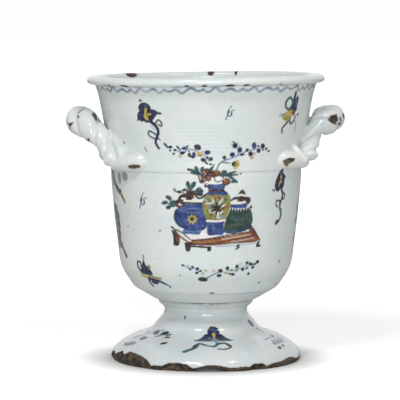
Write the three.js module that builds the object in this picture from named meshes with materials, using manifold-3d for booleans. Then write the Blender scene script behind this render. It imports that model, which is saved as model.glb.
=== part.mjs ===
// A two-handled vase on a spreading foot, of thick tin-glazed earthenware, in millimetres.
// It stands on z = 0 with its axis on Z, a handle at each end of X, and its painted front towards -Y.
// It is built as a potter builds it: a foot, a collar and two thrown sections, each keyed into
// the next by a low ring, and two clay rolls twisted together for each handle.

import * as THREE from "three";
import { mergeVertices } from "three/addons/utils/BufferGeometryUtils.js";
import Module from "manifold-3d";

const wasm = await Module();
wasm.setup();

// Heights, each measured from the seat below it
const footHeight = 43;
const collarHeight = 8.5;
const bowlRise = 111;
const wallRise = 70;
const lipHeight = 7.5;

// Outside radii
const footRadius = 80;
const footBreakRadius = 53;
const neckRadius = 35.2;
const collarRadius = 40;
const bowlBaseRadius = 42;
const bellyRadius = 74.6;
const seamRadius = 80.4;
const flareRadius = 93.3;
const lipOverhang = 6.7;

// Walls, floors and bores
const wall = 6.5;
const bowlFloor = 8.5;
const bowlFloorRadius = 30;
const footWall = 8.5;
const baseRingWidth = 9;
const neckBoreRadius = 22.5;

// Shapes along the profiles
const bellyRise = 45;
const slopeWidth = 17.6;
const slopeAngle = 31;
const insideCorner = 20;
const flareStart = 26;
const flareStartLean = 2.6;
const footBreakHeight = 22.8;
const footEdgeHeight = 5.5;
const edgeRound = 1.5;

// The ring that keys each thrown piece into the next
const keyWidth = 2.4;
const keyHeight = 1.8;
const keyGap = 0.3;

// The handles: two rolls twisted about a loop that climbs the wall and stands away from it on top
const rollRadius = 6.2;
const rollOffset = 5.9;
const rollSpread = 1.25;
const rollGap = 0.6;
const handleHeight = 169.5;
const handleSpread = 47;
const handleRise = 33;
const crownRound = 1.9;
const fingerGap = 7.3;
const gapShare = 0.55;
const bedding = 0.3;
const halfTwistTurns = 1.5;
const twistSlack = 0.82;
const stubTurns = -0.25;
const stubRadius = 7.8;
const stubLength = 11;
const tailRadius = 4.6;
const tailLength = 21;
const lutingGap = 0.3;

const turnSegments = 40;
const curveSteps = 5;
const rollSides = 10;
const rollSteps = 56;
const endShare = 0.05;
const sliver = 0.03;

// Seat heights
const collarSeat = footHeight;
const bowlSeat = collarSeat + collarHeight;
const seamSeat = bowlSeat + bowlRise;
const lipSeat = seamSeat + wallRise;
const topHeight = lipSeat + lipHeight;

const point = (radius, height) => new THREE.Vector2(radius, height);

// A curve from start to end that leaves and arrives along its two handles, as a list of points.
function sweep(start, startHandle, endHandle, end, steps = curveSteps) {
  return new THREE.CubicBezierCurve(start, startHandle, endHandle, end).getPoints(steps);
}

// The upper face of a seat, walked inwards: flat, with a low ring standing on it.
function keyedTop(outer, inner, height) {
  const middle = (outer + inner) / 2;
  return [
    point(outer, height),
    point(middle + keyWidth / 2, height),
    point(middle + keyWidth / 2, height + keyHeight),
    point(middle - keyWidth / 2, height + keyHeight),
    point(middle - keyWidth / 2, height),
    point(inner, height),
  ];
}

// The lower face that sits on a keyed top, walked outwards: flat, with a groove for the ring.
function groovedBottom(inner, outer, height, keyMiddle = (outer + inner) / 2) {
  const half = keyWidth / 2 + keyGap;
  const depth = keyHeight + keyGap;
  return [
    point(inner, height),
    point(keyMiddle - half, height),
    point(keyMiddle - half, height + depth),
    point(keyMiddle + half, height + depth),
    point(keyMiddle + half, height),
    point(outer, height),
  ];
}

// A thrown piece: an outline, closed on itself, turned about Z.
function thrown(outline) {
  const geometry = new THREE.LatheGeometry([...outline, outline[0].clone()], turnSegments);
  return geometry.rotateX(Math.PI / 2);
}

// Foot: a hollow stem that flares to a break, then spreads as a wide, low skirt.
function footGeometry() {
  const skirtBreak = point(footBreakRadius, footBreakHeight);
  const skirt = sweep(
    point(footRadius, footEdgeHeight),
    point(footRadius - 4, footEdgeHeight + 8),
    point(footBreakRadius + 12, footBreakHeight - 3),
    skirtBreak,
  );
  const stem = sweep(
    skirtBreak,
    point(footBreakRadius - 8, footBreakHeight + 3),
    point(neckRadius + 2.5, footHeight - 12),
    point(neckRadius - 0.5, footHeight - 3),
  );
  const baseInner = footRadius - edgeRound - baseRingWidth;
  const hollow = sweep(
    point(neckBoreRadius, footHeight - footWall - 4),
    point(neckBoreRadius + 3, footBreakHeight - footWall),
    point(footBreakRadius, footBreakHeight - footWall - 2),
    point(baseInner - 2, edgeRound),
  );
  return thrown([
    point(baseInner, 0),
    point(footRadius - edgeRound, 0),
    point(footRadius, edgeRound),
    ...skirt,
    ...stem.slice(1),
    ...keyedTop(neckRadius, neckBoreRadius, footHeight),
    ...hollow,
  ]);
}

// Collar: the thick ring of clay luted between foot and bowl, cut back in a cavetto below.
function collarGeometry() {
  const side = sweep(
    point(neckRadius, collarSeat),
    point(neckRadius + 1.5, collarSeat + 2),
    point(collarRadius - 1, collarSeat + 3.5),
    point(collarRadius, bowlSeat - 2),
    4,
  );
  return thrown([
    ...groovedBottom(neckBoreRadius, neckRadius, collarSeat).slice(0, -1),
    ...side,
    ...keyedTop(collarRadius, neckBoreRadius, bowlSeat),
  ]);
}

// The outside of the lower section: a sloping underside, a crease, a round belly and a tall side.
function bowlOutside() {
  const slopeRise = slopeWidth * Math.tan(THREE.MathUtils.degToRad(slopeAngle));
  const crease = point(bowlBaseRadius + slopeWidth, bowlSeat + slopeRise);
  const belly = sweep(
    crease,
    point(crease.x + 9, crease.y + 8),
    point(bellyRadius - 1, bowlSeat + bellyRise - 16),
    point(bellyRadius, bowlSeat + bellyRise),
  );
  return [point(bowlBaseRadius, bowlSeat), ...belly, point(seamRadius, seamSeat)];
}

// Lower section: the round-bottomed bowl, thrown with a thick flat floor.
function bowlGeometry() {
  const floorTop = bowlSeat + bowlFloor;
  const inside = sweep(
    point(bellyRadius - wall, bowlSeat + bellyRise),
    point(bellyRadius - wall - 1, floorTop + insideCorner),
    point(bowlFloorRadius + insideCorner, floorTop + 4),
    point(bowlFloorRadius, floorTop),
  );
  const keyMiddle = (collarRadius + neckBoreRadius) / 2;
  return thrown([
    ...groovedBottom(0, bowlBaseRadius, bowlSeat, keyMiddle).slice(0, -1),
    ...bowlOutside(),
    ...keyedTop(seamRadius, seamRadius - wall, seamSeat).slice(1),
    ...inside,
    point(0, floorTop),
  ]);
}

// The outside of the upper section, from the seam up to the lip.
function wallOutside() {
  return sweep(
    point(seamRadius, seamSeat),
    point(seamRadius + flareStartLean, seamSeat + flareStart),
    point(flareRadius - 6, lipSeat - 17),
    point(flareRadius, lipSeat),
    7,
  );
}

// Upper section: the tall wall that widens gently to a heavy lip, rolled outwards.
function wallGeometry() {
  const lipRadius = flareRadius + lipOverhang;
  const innerLip = flareRadius - wall;
  const crown = point(innerLip + 0.45 * (lipRadius - innerLip), topHeight);
  const noseHeight = lipSeat + 0.5 * lipHeight;
  const nose = point(lipRadius, noseHeight);
  const under = sweep(
    point(flareRadius, lipSeat),
    point(flareRadius + 0.6 * lipOverhang, lipSeat),
    point(lipRadius, lipSeat + 0.15 * lipHeight),
    nose,
    4,
  );
  const over = sweep(nose, point(lipRadius, noseHeight + 2.4), point(crown.x + 4, topHeight), crown, 4);
  const inside = sweep(
    crown,
    point(crown.x - 3, topHeight),
    point(innerLip, topHeight - 2),
    point(innerLip, noseHeight),
    3,
  );
  return thrown([
    ...groovedBottom(seamRadius - wall, seamRadius, seamSeat).slice(0, -1),
    ...wallOutside(),
    ...under.slice(1),
    ...over.slice(1),
    ...inside.slice(1),
    ...wallOutside().map((p) => point(p.x - wall, p.y)).reverse().slice(0, -1),
  ]);
}

// The outside radius of the vessel at a height.
const outside = [...bowlOutside(), ...wallOutside().slice(1)];
function radiusAt(height) {
  const found = outside.findIndex((p) => p.y >= height);
  const upper = THREE.MathUtils.clamp(found, 1, outside.length - 1);
  const low = outside[upper - 1];
  const high = outside[upper];
  return THREE.MathUtils.mapLinear(height, low.y, high.y, low.x, high.x);
}

// A point beside the vessel on +X: how far across, how high, and how far its centre is off the wall.
function besideWall(across, height, standOff) {
  const radius = radiusAt(height) + standOff;
  const along = Math.sqrt(radius * radius - across * across);
  return new THREE.Vector3(along, across, height);
}

// The loop that the two rolls are twisted about, from its front foot to its rear one: it climbs
// along the wall from each foot, and stands away from it towards a crown in the middle.
function handleLoop() {
  const touching = rollRadius + rollOffset - bedding;
  const shares = [1, 0.98, 0.92, 0.8, 0.6, 0.4, 0.2];
  const at = (share) => {
    const rise = handleRise * (1 - Math.abs(share) ** crownRound);
    const leaving = Math.min(Math.abs(share) / gapShare, 1);
    const clear = fingerGap * (0.5 + 0.5 * Math.cos(Math.PI * leaving));
    return besideWall(share * handleSpread, handleHeight + rise, touching + clear);
  };
  const points = [...shares.map((share) => at(-share)), at(0), ...shares.map(at).reverse()];
  return new THREE.CatmullRomCurve3(points, false, "centripetal");
}

// How far the rolls have turned about each other, in turns, at a share of the loop's length:
// the twist is slack at the crown and tightens towards both feet.
function turnsAt(share) {
  const fromCrown = 2 * share - 1;
  const tightened = twistSlack * fromCrown + (1 - twistSlack) * fromCrown * Math.abs(fromCrown);
  return halfTwistTurns * tightened;
}

// Where a roll lies at a share of the loop: the loop's own centre, the way to the roll's side of
// it, and the way across the roll, both square to the loop. The lay is right-handed.
function rollFrame(loop, share, startTurns) {
  const centre = loop.getPointAt(share);
  const ahead = loop.getTangentAt(share);
  const up = new THREE.Vector3(0, 0, 1).addScaledVector(ahead, -ahead.z).normalize();
  const beside = new THREE.Vector3().crossVectors(ahead, up);
  const angle = 2 * Math.PI * (startTurns + turnsAt(share));
  const outwards = up.clone().multiplyScalar(Math.cos(angle)).addScaledVector(beside, Math.sin(angle));
  return { centre, outwards, across: new THREE.Vector3().crossVectors(ahead, outwards) };
}

// A closed skin over a row of rings, each a list of as many points, with flat ends.
function skinned(rings) {
  const sides = rings[0].length;
  const positions = rings.flat().flatMap((corner) => corner.toArray());
  const indices = [];
  for (let i = 0; i < rings.length - 1; i += 1) {
    for (let j = 0; j < sides; j += 1) {
      const a = i * sides + j;
      const b = i * sides + ((j + 1) % sides);
      indices.push(a, b, a + sides, b, b + sides, a + sides);
    }
  }
  const last = (rings.length - 1) * sides;
  for (let j = 1; j < sides - 1; j += 1) {
    indices.push(0, j + 1, j);
    indices.push(last, last + j, last + j + 1);
  }
  const geometry = new THREE.BufferGeometry();
  geometry.setAttribute("position", new THREE.Float32BufferAttribute(positions, 3));
  geometry.setIndex(indices);
  return geometry;
}

// A ring of points about a centre, in the plane of two directions.
function ring(centre, first, second, firstRadius, secondRadius) {
  return Array.from({ length: rollSides }, (_, j) => {
    const angle = (2 * Math.PI * j) / rollSides;
    return centre
      .clone()
      .addScaledVector(first, firstRadius * Math.cos(angle))
      .addScaledVector(second, secondRadius * Math.sin(angle));
  });
}

// One roll's twisted stretch: round, but pressed flat where it lies against the other roll. All
// that makes a roll can grow by a clearance, to cut room for it in its neighbour.
function twistedRoll(loop, startTurns, growth) {
  const radius = rollRadius + growth;
  const rings = [];
  for (let i = 0; i <= rollSteps; i += 1) {
    const { centre, outwards, across } = rollFrame(loop, i / rollSteps, startTurns);
    const middle = centre.clone().addScaledVector(outwards, rollOffset);
    const round = ring(middle, outwards, across, radius, radius * rollSpread);
    for (const corner of round) {
      const depth = corner.clone().sub(centre).dot(outwards);
      corner.addScaledVector(outwards, Math.max(rollGap / 2 - growth - depth, 0));
    }
    rings.push(round);
  }
  return solid(skinned(rings));
}

// One end of a roll, from inside its twisted stretch to where it stops on the wall.
function rollEnd(points, radii, growth) {
  const curve = new THREE.CatmullRomCurve3(points, false, "centripetal");
  const steps = 8;
  const frames = curve.computeFrenetFrames(steps, false);
  const rings = radii.length - 1;
  return solid(
    skinned(
      Array.from({ length: steps + 1 }, (_, i) => {
        const place = (i / steps) * rings;
        const from = Math.min(Math.floor(place), rings - 1);
        const radius = growth + THREE.MathUtils.lerp(radii[from], radii[from + 1], place - from);
        return ring(curve.getPointAt(i / steps), frames.normals[i], frames.binormals[i], radius, radius);
      }),
    ),
  );
}

// Two ways for a roll to end on the wall: a thick stub laid outwards along it, past the foot of
// the loop, and thinned into it, or a thin tail drawn up it, inside the loop.
function stubEnd(start, side, growth) {
  return rollEnd(
    [
      start,
      besideWall(side * (handleSpread + 0.4 * stubLength), handleHeight + 1, 0.5 * stubRadius),
      besideWall(side * (handleSpread + stubLength), handleHeight + 0.5, 0),
    ],
    [0.9 * rollRadius, stubRadius, 0.7 * stubRadius],
    growth,
  );
}

function tailEnd(start, side, growth) {
  return rollEnd(
    [
      start,
      besideWall(side * (handleSpread - 0.5 * tailLength), handleHeight + 0.3 * tailLength, tailRadius - 1),
      besideWall(side * (handleSpread - tailLength), handleHeight + 0.65 * tailLength, tailRadius - 2),
    ],
    [0.9 * rollRadius, tailRadius, 0.7 * tailRadius],
    growth,
  );
}

// A closed geometry as a solid that can be joined and cut.
function solid(geometry) {
  const plain = geometry.clone();
  plain.deleteAttribute("normal");
  plain.deleteAttribute("uv");
  const merged = mergeVertices(plain, 1e-4);
  return new wasm.Manifold(
    new wasm.Mesh({
      numProp: 3,
      vertProperties: merged.attributes.position.array,
      triVerts: new Uint32Array(merged.index.array),
    }),
  );
}

function geometryOf(manifold) {
  const mesh = manifold.getMesh();
  const geometry = new THREE.BufferGeometry();
  geometry.setAttribute("position", new THREE.BufferAttribute(mesh.vertProperties, 3));
  geometry.setIndex(new THREE.BufferAttribute(mesh.triVerts, 1));
  return geometry;
}

// The vessel as one plain block, a luting gap larger all round, for cutting the handles' ends.
function vesselBlock() {
  const side = outside.map((p) => point(p.x + lutingGap, p.y));
  return solid(thrown([point(0, bowlSeat), ...side, point(0, lipSeat)]));
}

// The largest body of a solid, without the specks and slivers that a cut can leave.
function largest(manifold) {
  const bodies = manifold.simplify(sliver).decompose();
  return bodies.reduce((a, b) => (a.volume() >= b.volume() ? a : b));
}

// A whole roll: its twisted stretch and its two ends, which start a little way inside it.
function wholeRoll(loop, startTurns, end, growth = 0) {
  const endAt = (share, side) => {
    const { centre, outwards } = rollFrame(loop, share, startTurns);
    return end(centre.addScaledVector(outwards, rollOffset), side, growth);
  };
  return twistedRoll(loop, startTurns, growth).add(endAt(endShare, -1)).add(endAt(1 - endShare, 1));
}

// The two rolls of one handle, on +X: one ends in a stub at each foot of the loop, and the other
// in a tail, cut back where it passes the first.
function handleRolls() {
  const vessel = vesselBlock();
  const loop = handleLoop();
  const room = wholeRoll(loop, stubTurns, stubEnd, lutingGap);
  const first = wholeRoll(loop, stubTurns, stubEnd).subtract(vessel);
  const second = wholeRoll(loop, stubTurns + 0.5, tailEnd).subtract(vessel).subtract(room);
  return { stub_roll: geometryOf(largest(first)), tail_roll: geometryOf(largest(second)) };
}

const tinGlaze = () => new THREE.MeshStandardMaterial({ color: 0xdfe4e1, roughness: 0.18, metalness: 0 });

function add(name, geometry, parent) {
  const mesh = new THREE.Mesh(geometry, tinGlaze());
  mesh.name = name;
  parent.add(mesh);
}

const vase = new THREE.Group();
add("foot", footGeometry(), vase);
add("neck_collar", collarGeometry(), vase);
add("bowl_section", bowlGeometry(), vase);
add("wall_section", wallGeometry(), vase);

// The left handle is the right one turned half way round, so both ropes have the same lay.
const rolls = handleRolls();
for (const [side, turn] of [["right", 0], ["left", Math.PI]]) {
  const handle = new THREE.Group();
  handle.rotation.z = turn;
  for (const [roll, geometry] of Object.entries(rolls)) {
    add(`${side}_handle_${roll}`, geometry, handle);
  }
  vase.add(handle);
}

export default vase;
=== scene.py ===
import math

import bpy
import numpy as np
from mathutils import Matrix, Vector


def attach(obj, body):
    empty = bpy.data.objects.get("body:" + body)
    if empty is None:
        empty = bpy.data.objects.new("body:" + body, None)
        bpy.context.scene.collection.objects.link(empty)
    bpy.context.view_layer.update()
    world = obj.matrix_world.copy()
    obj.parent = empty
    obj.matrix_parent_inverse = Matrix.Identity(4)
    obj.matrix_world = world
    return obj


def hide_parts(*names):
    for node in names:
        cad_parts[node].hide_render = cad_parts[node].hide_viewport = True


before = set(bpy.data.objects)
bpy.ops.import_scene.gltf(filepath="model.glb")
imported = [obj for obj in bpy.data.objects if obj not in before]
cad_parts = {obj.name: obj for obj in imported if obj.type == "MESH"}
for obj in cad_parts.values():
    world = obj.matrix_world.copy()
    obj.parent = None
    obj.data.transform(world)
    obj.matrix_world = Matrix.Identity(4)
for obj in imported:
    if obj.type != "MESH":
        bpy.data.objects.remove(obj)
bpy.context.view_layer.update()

# Studio: the vase stands on a white table in front of a white wall, lit by two soft boxes high
# in front of it, with white all round. It is seen from 2 m away, a little above the lip, through
# a long lens, and from slightly to the left of its painted front.

MM = 0.001
TAU = 2 * math.pi
light_from_walls = 0.30


def node(tree, kind, sockets=None, **settings):
    """A shader node with its settings, its sockets set to values or linked to other sockets."""
    made = tree.nodes.new(kind)
    for setting, value in settings.items():
        setattr(made, setting, value)
    for key, value in (sockets or {}).items():
        if isinstance(value, bpy.types.NodeSocket):
            tree.links.new(value, made.inputs[key])
        else:
            made.inputs[key].default_value = value
    return made


def between(tree, value, low, high, to_low=0.0, to_high=1.0):
    """A value's smooth climb from to_low, at low, to to_high, at high."""
    sockets = {0: value, 1: low, 2: high, 3: to_low, 4: to_high}
    return node(tree, "ShaderNodeMapRange", sockets, interpolation_type="SMOOTHSTEP").outputs[0]


def combined(tree, first, operation, second):
    """Two values put together: added, multiplied, or the larger of them."""
    return node(tree, "ShaderNodeMath", {0: first, 1: second}, operation=operation).outputs[0]


def white_all_round():
    """White to the eye and in the glaze's reflections, and a softer grey as a source of light."""
    world = bpy.data.worlds.new("white studio")
    bpy.context.scene.world = world
    world.use_nodes = True
    tree = world.node_tree
    ray = node(tree, "ShaderNodeLightPath").outputs
    seen = combined(tree, ray["Is Camera Ray"], "MAXIMUM", ray["Is Glossy Ray"])
    seen = combined(tree, seen, "MAXIMUM", ray["Is Transmission Ray"])
    background = tree.nodes["Background"]
    background.inputs["Color"].default_value = (0.98, 0.99, 1.0, 1)
    tree.links.new(between(tree, seen, 0, 1, light_from_walls, 1.0), background.inputs["Strength"])


def table_top():
    """A white table that keeps the vase's shadow. Away from the vase, to the eye alone, it
    brightens to the white of the wall, first just past the foot and then far off, so that no
    horizon shows. Close round the foot it stays dim: a painted shadow at the foot."""
    bpy.ops.mesh.primitive_plane_add(size=40)
    table = bpy.context.object
    table.name = "white_table"
    surface = bpy.data.materials.new("white table")
    surface.use_nodes = True
    tree = surface.node_tree
    place = node(tree, "ShaderNodeTexCoord").outputs["Object"]
    away = node(tree, "ShaderNodeVectorMath", {0: place}, operation="LENGTH").outputs["Value"]
    # Painted shadow: the glow that whitens the table stays low in a ring close round the foot.
    glow_past_foot_shadow = between(tree, away, 0.074, 0.118, to_low=0.04, to_high=0.56)
    far_off = between(tree, away, 0.34, 1.0, to_low=0.0, to_high=0.35)
    to_the_eye = node(tree, "ShaderNodeLightPath").outputs["Is Camera Ray"]
    glow = combined(tree, combined(tree, glow_past_foot_shadow, "ADD", far_off), "MULTIPLY", to_the_eye)
    shader = tree.nodes["Principled BSDF"]
    shader.inputs["Base Color"].default_value = (0.78, 0.78, 0.77, 1)
    shader.inputs["Roughness"].default_value = 0.9
    shader.inputs["Specular IOR Level"].default_value = 0.1
    shader.inputs["Emission Color"].default_value = (1, 1, 1, 1)
    tree.links.new(glow, shader.inputs["Emission Strength"])
    table.data.materials.append(surface)


def soft_box(name, side_angle, height_angle, distance, width, power, tint):
    """A square soft box, turned to the middle of the vase; side_angle is to the camera's right."""
    lamp = bpy.data.lights.new(name, "AREA")
    lamp.shape = "SQUARE"
    lamp.size = width
    lamp.energy = power
    lamp.color = tint
    box = bpy.data.objects.new(name, lamp)
    bpy.context.scene.collection.objects.link(box)
    around = camera_turn + math.radians(side_angle)
    above = math.radians(height_angle)
    flat = distance * math.cos(above)
    middle = Vector((0, 0, 0.12))
    off = Vector((flat * math.sin(around), -flat * math.cos(around), distance * math.sin(above)))
    box.location = middle + off
    box.rotation_euler = (middle - box.location).to_track_quat("-Z", "Y").to_euler()


camera_turn = math.radians(-4.5)
camera_away = 1.962
camera_height = 0.300
aim_height = 0.1342
aim_left = 0.0050

camera_data = bpy.data.cameras.new("camera")
camera_data.lens = 210
camera_data.sensor_width = 36
camera = bpy.data.objects.new("camera", camera_data)
bpy.context.scene.collection.objects.link(camera)
bpy.context.scene.camera = camera
to_right = Vector((math.cos(camera_turn), math.sin(camera_turn), 0))
to_camera = Vector((math.sin(camera_turn), -math.cos(camera_turn), 0))
aim = -aim_left * to_right + Vector((0, 0, aim_height))
camera.location = camera_away * to_camera - aim_left * to_right + Vector((0, 0, camera_height))
camera.rotation_euler = (aim - camera.location).to_track_quat("-Z", "Y").to_euler()

bpy.context.scene.view_settings.view_transform = "Standard"
white_all_round()
table_top()
soft_box("left soft box", -24, 50, 2.2, 0.42, 14, (1.0, 0.99, 0.98))
soft_box("right soft box", 44, 52, 2.2, 0.36, 5, (1.0, 0.99, 0.98))
soft_box("front soft box", 1, 10, 2.6, 1.1, 25, (1.0, 0.99, 0.975))


# Foot: a hollow stem that flares into a wide, low skirt, thrown upside down in buff clay and
# dipped in white tin glaze. The glaze stops short of the table and has broken away along the
# edge, mostly at the left, down to the dark clay.

foot_outline = [
    (78.0, 0.0), (79.3, 0.7), (80.0, 2.4), (79.3, 5.8), (77.4, 9.0), (72.6, 13.5), (65.5, 17.9),
    (58.0, 21.1), (52.6, 22.9), (48.6, 24.4), (44.9, 26.9), (42.0, 30.6), (39.0, 34.3), (36.3, 37.6),
    (35.0, 40.6), (34.9, 43.0),
]
stem_bore = 22.5
foot_inside = [
    (stem_bore, 43.0), (stem_bore, 30.5), (27.0, 20.0), (45.0, 12.5), (62.0, 6.5), (69.0, 1.5), (70.5, 0.0),
]
foot_radius = 80
segments_round = 800


def srgb(red, green, blue):
    """A colour as it looks on a screen, 0 to 255, as the light that it sends back."""
    parts = [channel / 255 for channel in (red, green, blue)]
    return tuple(p / 12.92 if p <= 0.04045 else ((p + 0.055) / 1.055) ** 2.4 for p in parts) + (1,)


def smooth(points, step=1.0):
    """A smooth line through points, as an array with a point about every step mm."""
    knots = np.array(points, float)
    knots = np.vstack([2 * knots[0] - knots[1], knots, 2 * knots[-1] - knots[-2]])
    gaps = np.sqrt(np.linalg.norm(np.diff(knots, axis=0), axis=1))
    times = np.concatenate([[0], np.cumsum(gaps)])
    line = []
    for i in range(1, len(knots) - 2):
        pieces = max(2, int(np.linalg.norm(knots[i + 1] - knots[i]) / 0.1))
        t = np.linspace(times[i], times[i + 1], pieces, endpoint=False)[:, None]
        t0, t1, t2, t3 = times[i - 1:i + 3]
        p0, p1, p2, p3 = knots[i - 1:i + 3]
        a1 = (t1 - t) / (t1 - t0) * p0 + (t - t0) / (t1 - t0) * p1
        a2 = (t2 - t) / (t2 - t1) * p1 + (t - t1) / (t2 - t1) * p2
        a3 = (t3 - t) / (t3 - t2) * p2 + (t - t2) / (t3 - t2) * p3
        b1 = (t2 - t) / (t2 - t0) * a1 + (t - t0) / (t2 - t0) * a2
        b2 = (t3 - t) / (t3 - t1) * a2 + (t - t1) / (t3 - t1) * a3
        line.append((t2 - t) / (t2 - t1) * b1 + (t - t1) / (t2 - t1) * b2)
    line = np.vstack(line + [knots[-2:-1]])
    along = np.concatenate([[0], np.cumsum(np.linalg.norm(np.diff(line, axis=0), axis=1))])
    places = np.linspace(0, along[-1], max(2, int(round(along[-1] / step))) + 1)
    return np.stack([np.interp(places, along, line[:, k]) for k in range(line.shape[1])], axis=-1)


def radius_at(outline, height):
    """How wide an outline of (radius, height) points is at a height."""
    line = np.array(outline)
    return np.interp(height, line[:, 1], line[:, 0])


def on_outside(outline, radius, height):
    """Which points of a turned piece are on its outside: within 2 mm of the outline."""
    return radius > radius_at(outline, height) - 2


def hand_thrown(turn, radius, height):
    """Where a point of the turned shape ends up, in metres: a little out of round, faintly
    ridged by the fingers, and leaning. Turn is from the painted front, towards the right."""
    upper = np.clip((height - 50) / 190, 0, 1)
    oval = upper * 0.35 * np.sin(2 * turn + 0.9)
    three_sided = 0.16 * np.sin(3 * turn + height / 40)
    ridges = 0.05 * np.sin(TAU * height / 3.3 + 0.8 * np.sin(turn)) * np.sin(height / 17 + turn)
    radius = radius + oval + three_sided + ridges
    x = radius * np.sin(turn)
    y = -radius * np.cos(turn)
    lean = 0.011 * upper * x + 0.25 * upper * np.sin(3 * turn + 1)
    return np.stack([x, y, height + lean], axis=-1) * MM


def new_piece(name, points, faces, finish, marks=None):
    """A smooth mesh on the vase's one body, with its material and its per-point marks."""
    mesh = bpy.data.meshes.new(name)
    mesh.from_pydata(np.asarray(points).tolist(), [], [list(face) for face in faces])
    for mark, values in (marks or {}).items():
        values = np.asarray(values, np.float32)
        kind, field = ("FLOAT", "value") if values.ndim == 1 else ("FLOAT_COLOR", "color")
        mesh.attributes.new(mark, kind, "POINT").data.foreach_set(field, values.ravel())
    mesh.polygons.foreach_set("use_smooth", np.ones(len(mesh.polygons), bool))
    mesh.set_sharp_from_angle(angle=math.radians(50))
    mesh.materials.append(finish)
    piece = bpy.data.objects.new(name, mesh)
    bpy.context.scene.collection.objects.link(piece)
    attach(piece, "root")
    return piece


def thrown(name, outline, segments, finish, wear):
    """An outline of (radius, height) points, walked up the outside and down the inside, turned
    about the axis. wear(turn, radius, height, points) carves the points and marks them."""
    outline = np.asarray(outline)
    on_axis = outline[:, 0] < 1e-6
    rows = outline[~on_axis]
    turn = np.arange(segments) * TAU / segments
    turn, radius = np.meshgrid(turn, rows[:, 0])
    height = np.repeat(rows[:, 1:], segments, axis=1)
    points = hand_thrown(turn, radius, height).reshape(-1, 3)
    points, marks = wear(turn.ravel(), radius.ravel(), height.ravel(), points)
    index = np.arange(rows.shape[0] * segments).reshape(-1, segments)
    loops = index if on_axis.any() else np.vstack([index, index[:1]])
    low, high = loops[:-1], loops[1:]
    corners = [low, np.roll(low, -1, 1), np.roll(high, -1, 1), high]
    faces = np.stack(corners, axis=-1).reshape(-1, 4).tolist()
    if on_axis.any():
        poles = outline[on_axis]
        centres = np.stack([0 * poles[:, 0], 0 * poles[:, 0], poles[:, 1] * MM], axis=-1)
        first, last = len(points), len(points) + 1
        points = np.vstack([points, centres])
        marks = {mark: np.concatenate([values, values[:1], values[-1:]]) for mark, values in marks.items()}
        ring = np.roll(index, -1, 1)
        faces += [(first, b, a) for a, b in zip(index[0].tolist(), ring[0].tolist())]
        faces += [(last, a, b) for a, b in zip(index[-1].tolist(), ring[-1].tolist())]
    return new_piece(name, points, faces, finish, marks)


def noise(tree, place, size, detail=2.0, roughness=0.5):
    """Cloudy noise, 0 to 1, whose lumps are about size mm across."""
    sockets = {"Vector": place, "Scale": 1 / (size * MM), "Detail": detail, "Roughness": roughness}
    return node(tree, "ShaderNodeTexNoise", sockets).outputs["Fac"]


def mixed(tree, share, first, second):
    """The second colour over the first, by a share."""
    sockets = {0: share, 6: first, 7: second}
    return node(tree, "ShaderNodeMix", sockets, data_type="RGBA", clamp_factor=True).outputs[2]


def glaze_ground(tree, warm, cool):
    """The white tin glaze: cloudy where it lies thicker or thinner, with pinholes and a slightly
    uneven, orange-peel face. Gives its place, colour and the height of its face, in mm."""
    place = node(tree, "ShaderNodeTexCoord").outputs["Object"]
    clouds = noise(tree, place, 38, 3)
    colour = mixed(tree, between(tree, clouds, 0.38, 0.62), cool, warm)
    mottle = between(tree, noise(tree, place, 5.5, 3, 0.6), 0.35, 0.75, 0.0, 0.10)
    colour = mixed(tree, mottle, colour, srgb(172, 184, 186))
    pits = between(tree, noise(tree, place, 1.1, 1), 0.72, 0.80)
    colour = mixed(tree, combined(tree, pits, "MULTIPLY", 0.30), colour, srgb(138, 132, 126))
    waves = combined(tree, noise(tree, place, 9, 1), "MULTIPLY", 0.09)
    peel = combined(tree, noise(tree, place, 1.6, 1), "MULTIPLY", 0.008)
    face = combined(tree, combined(tree, waves, "ADD", peel), "ADD", combined(tree, pits, "MULTIPLY", -0.03))
    return place, colour, face


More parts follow.
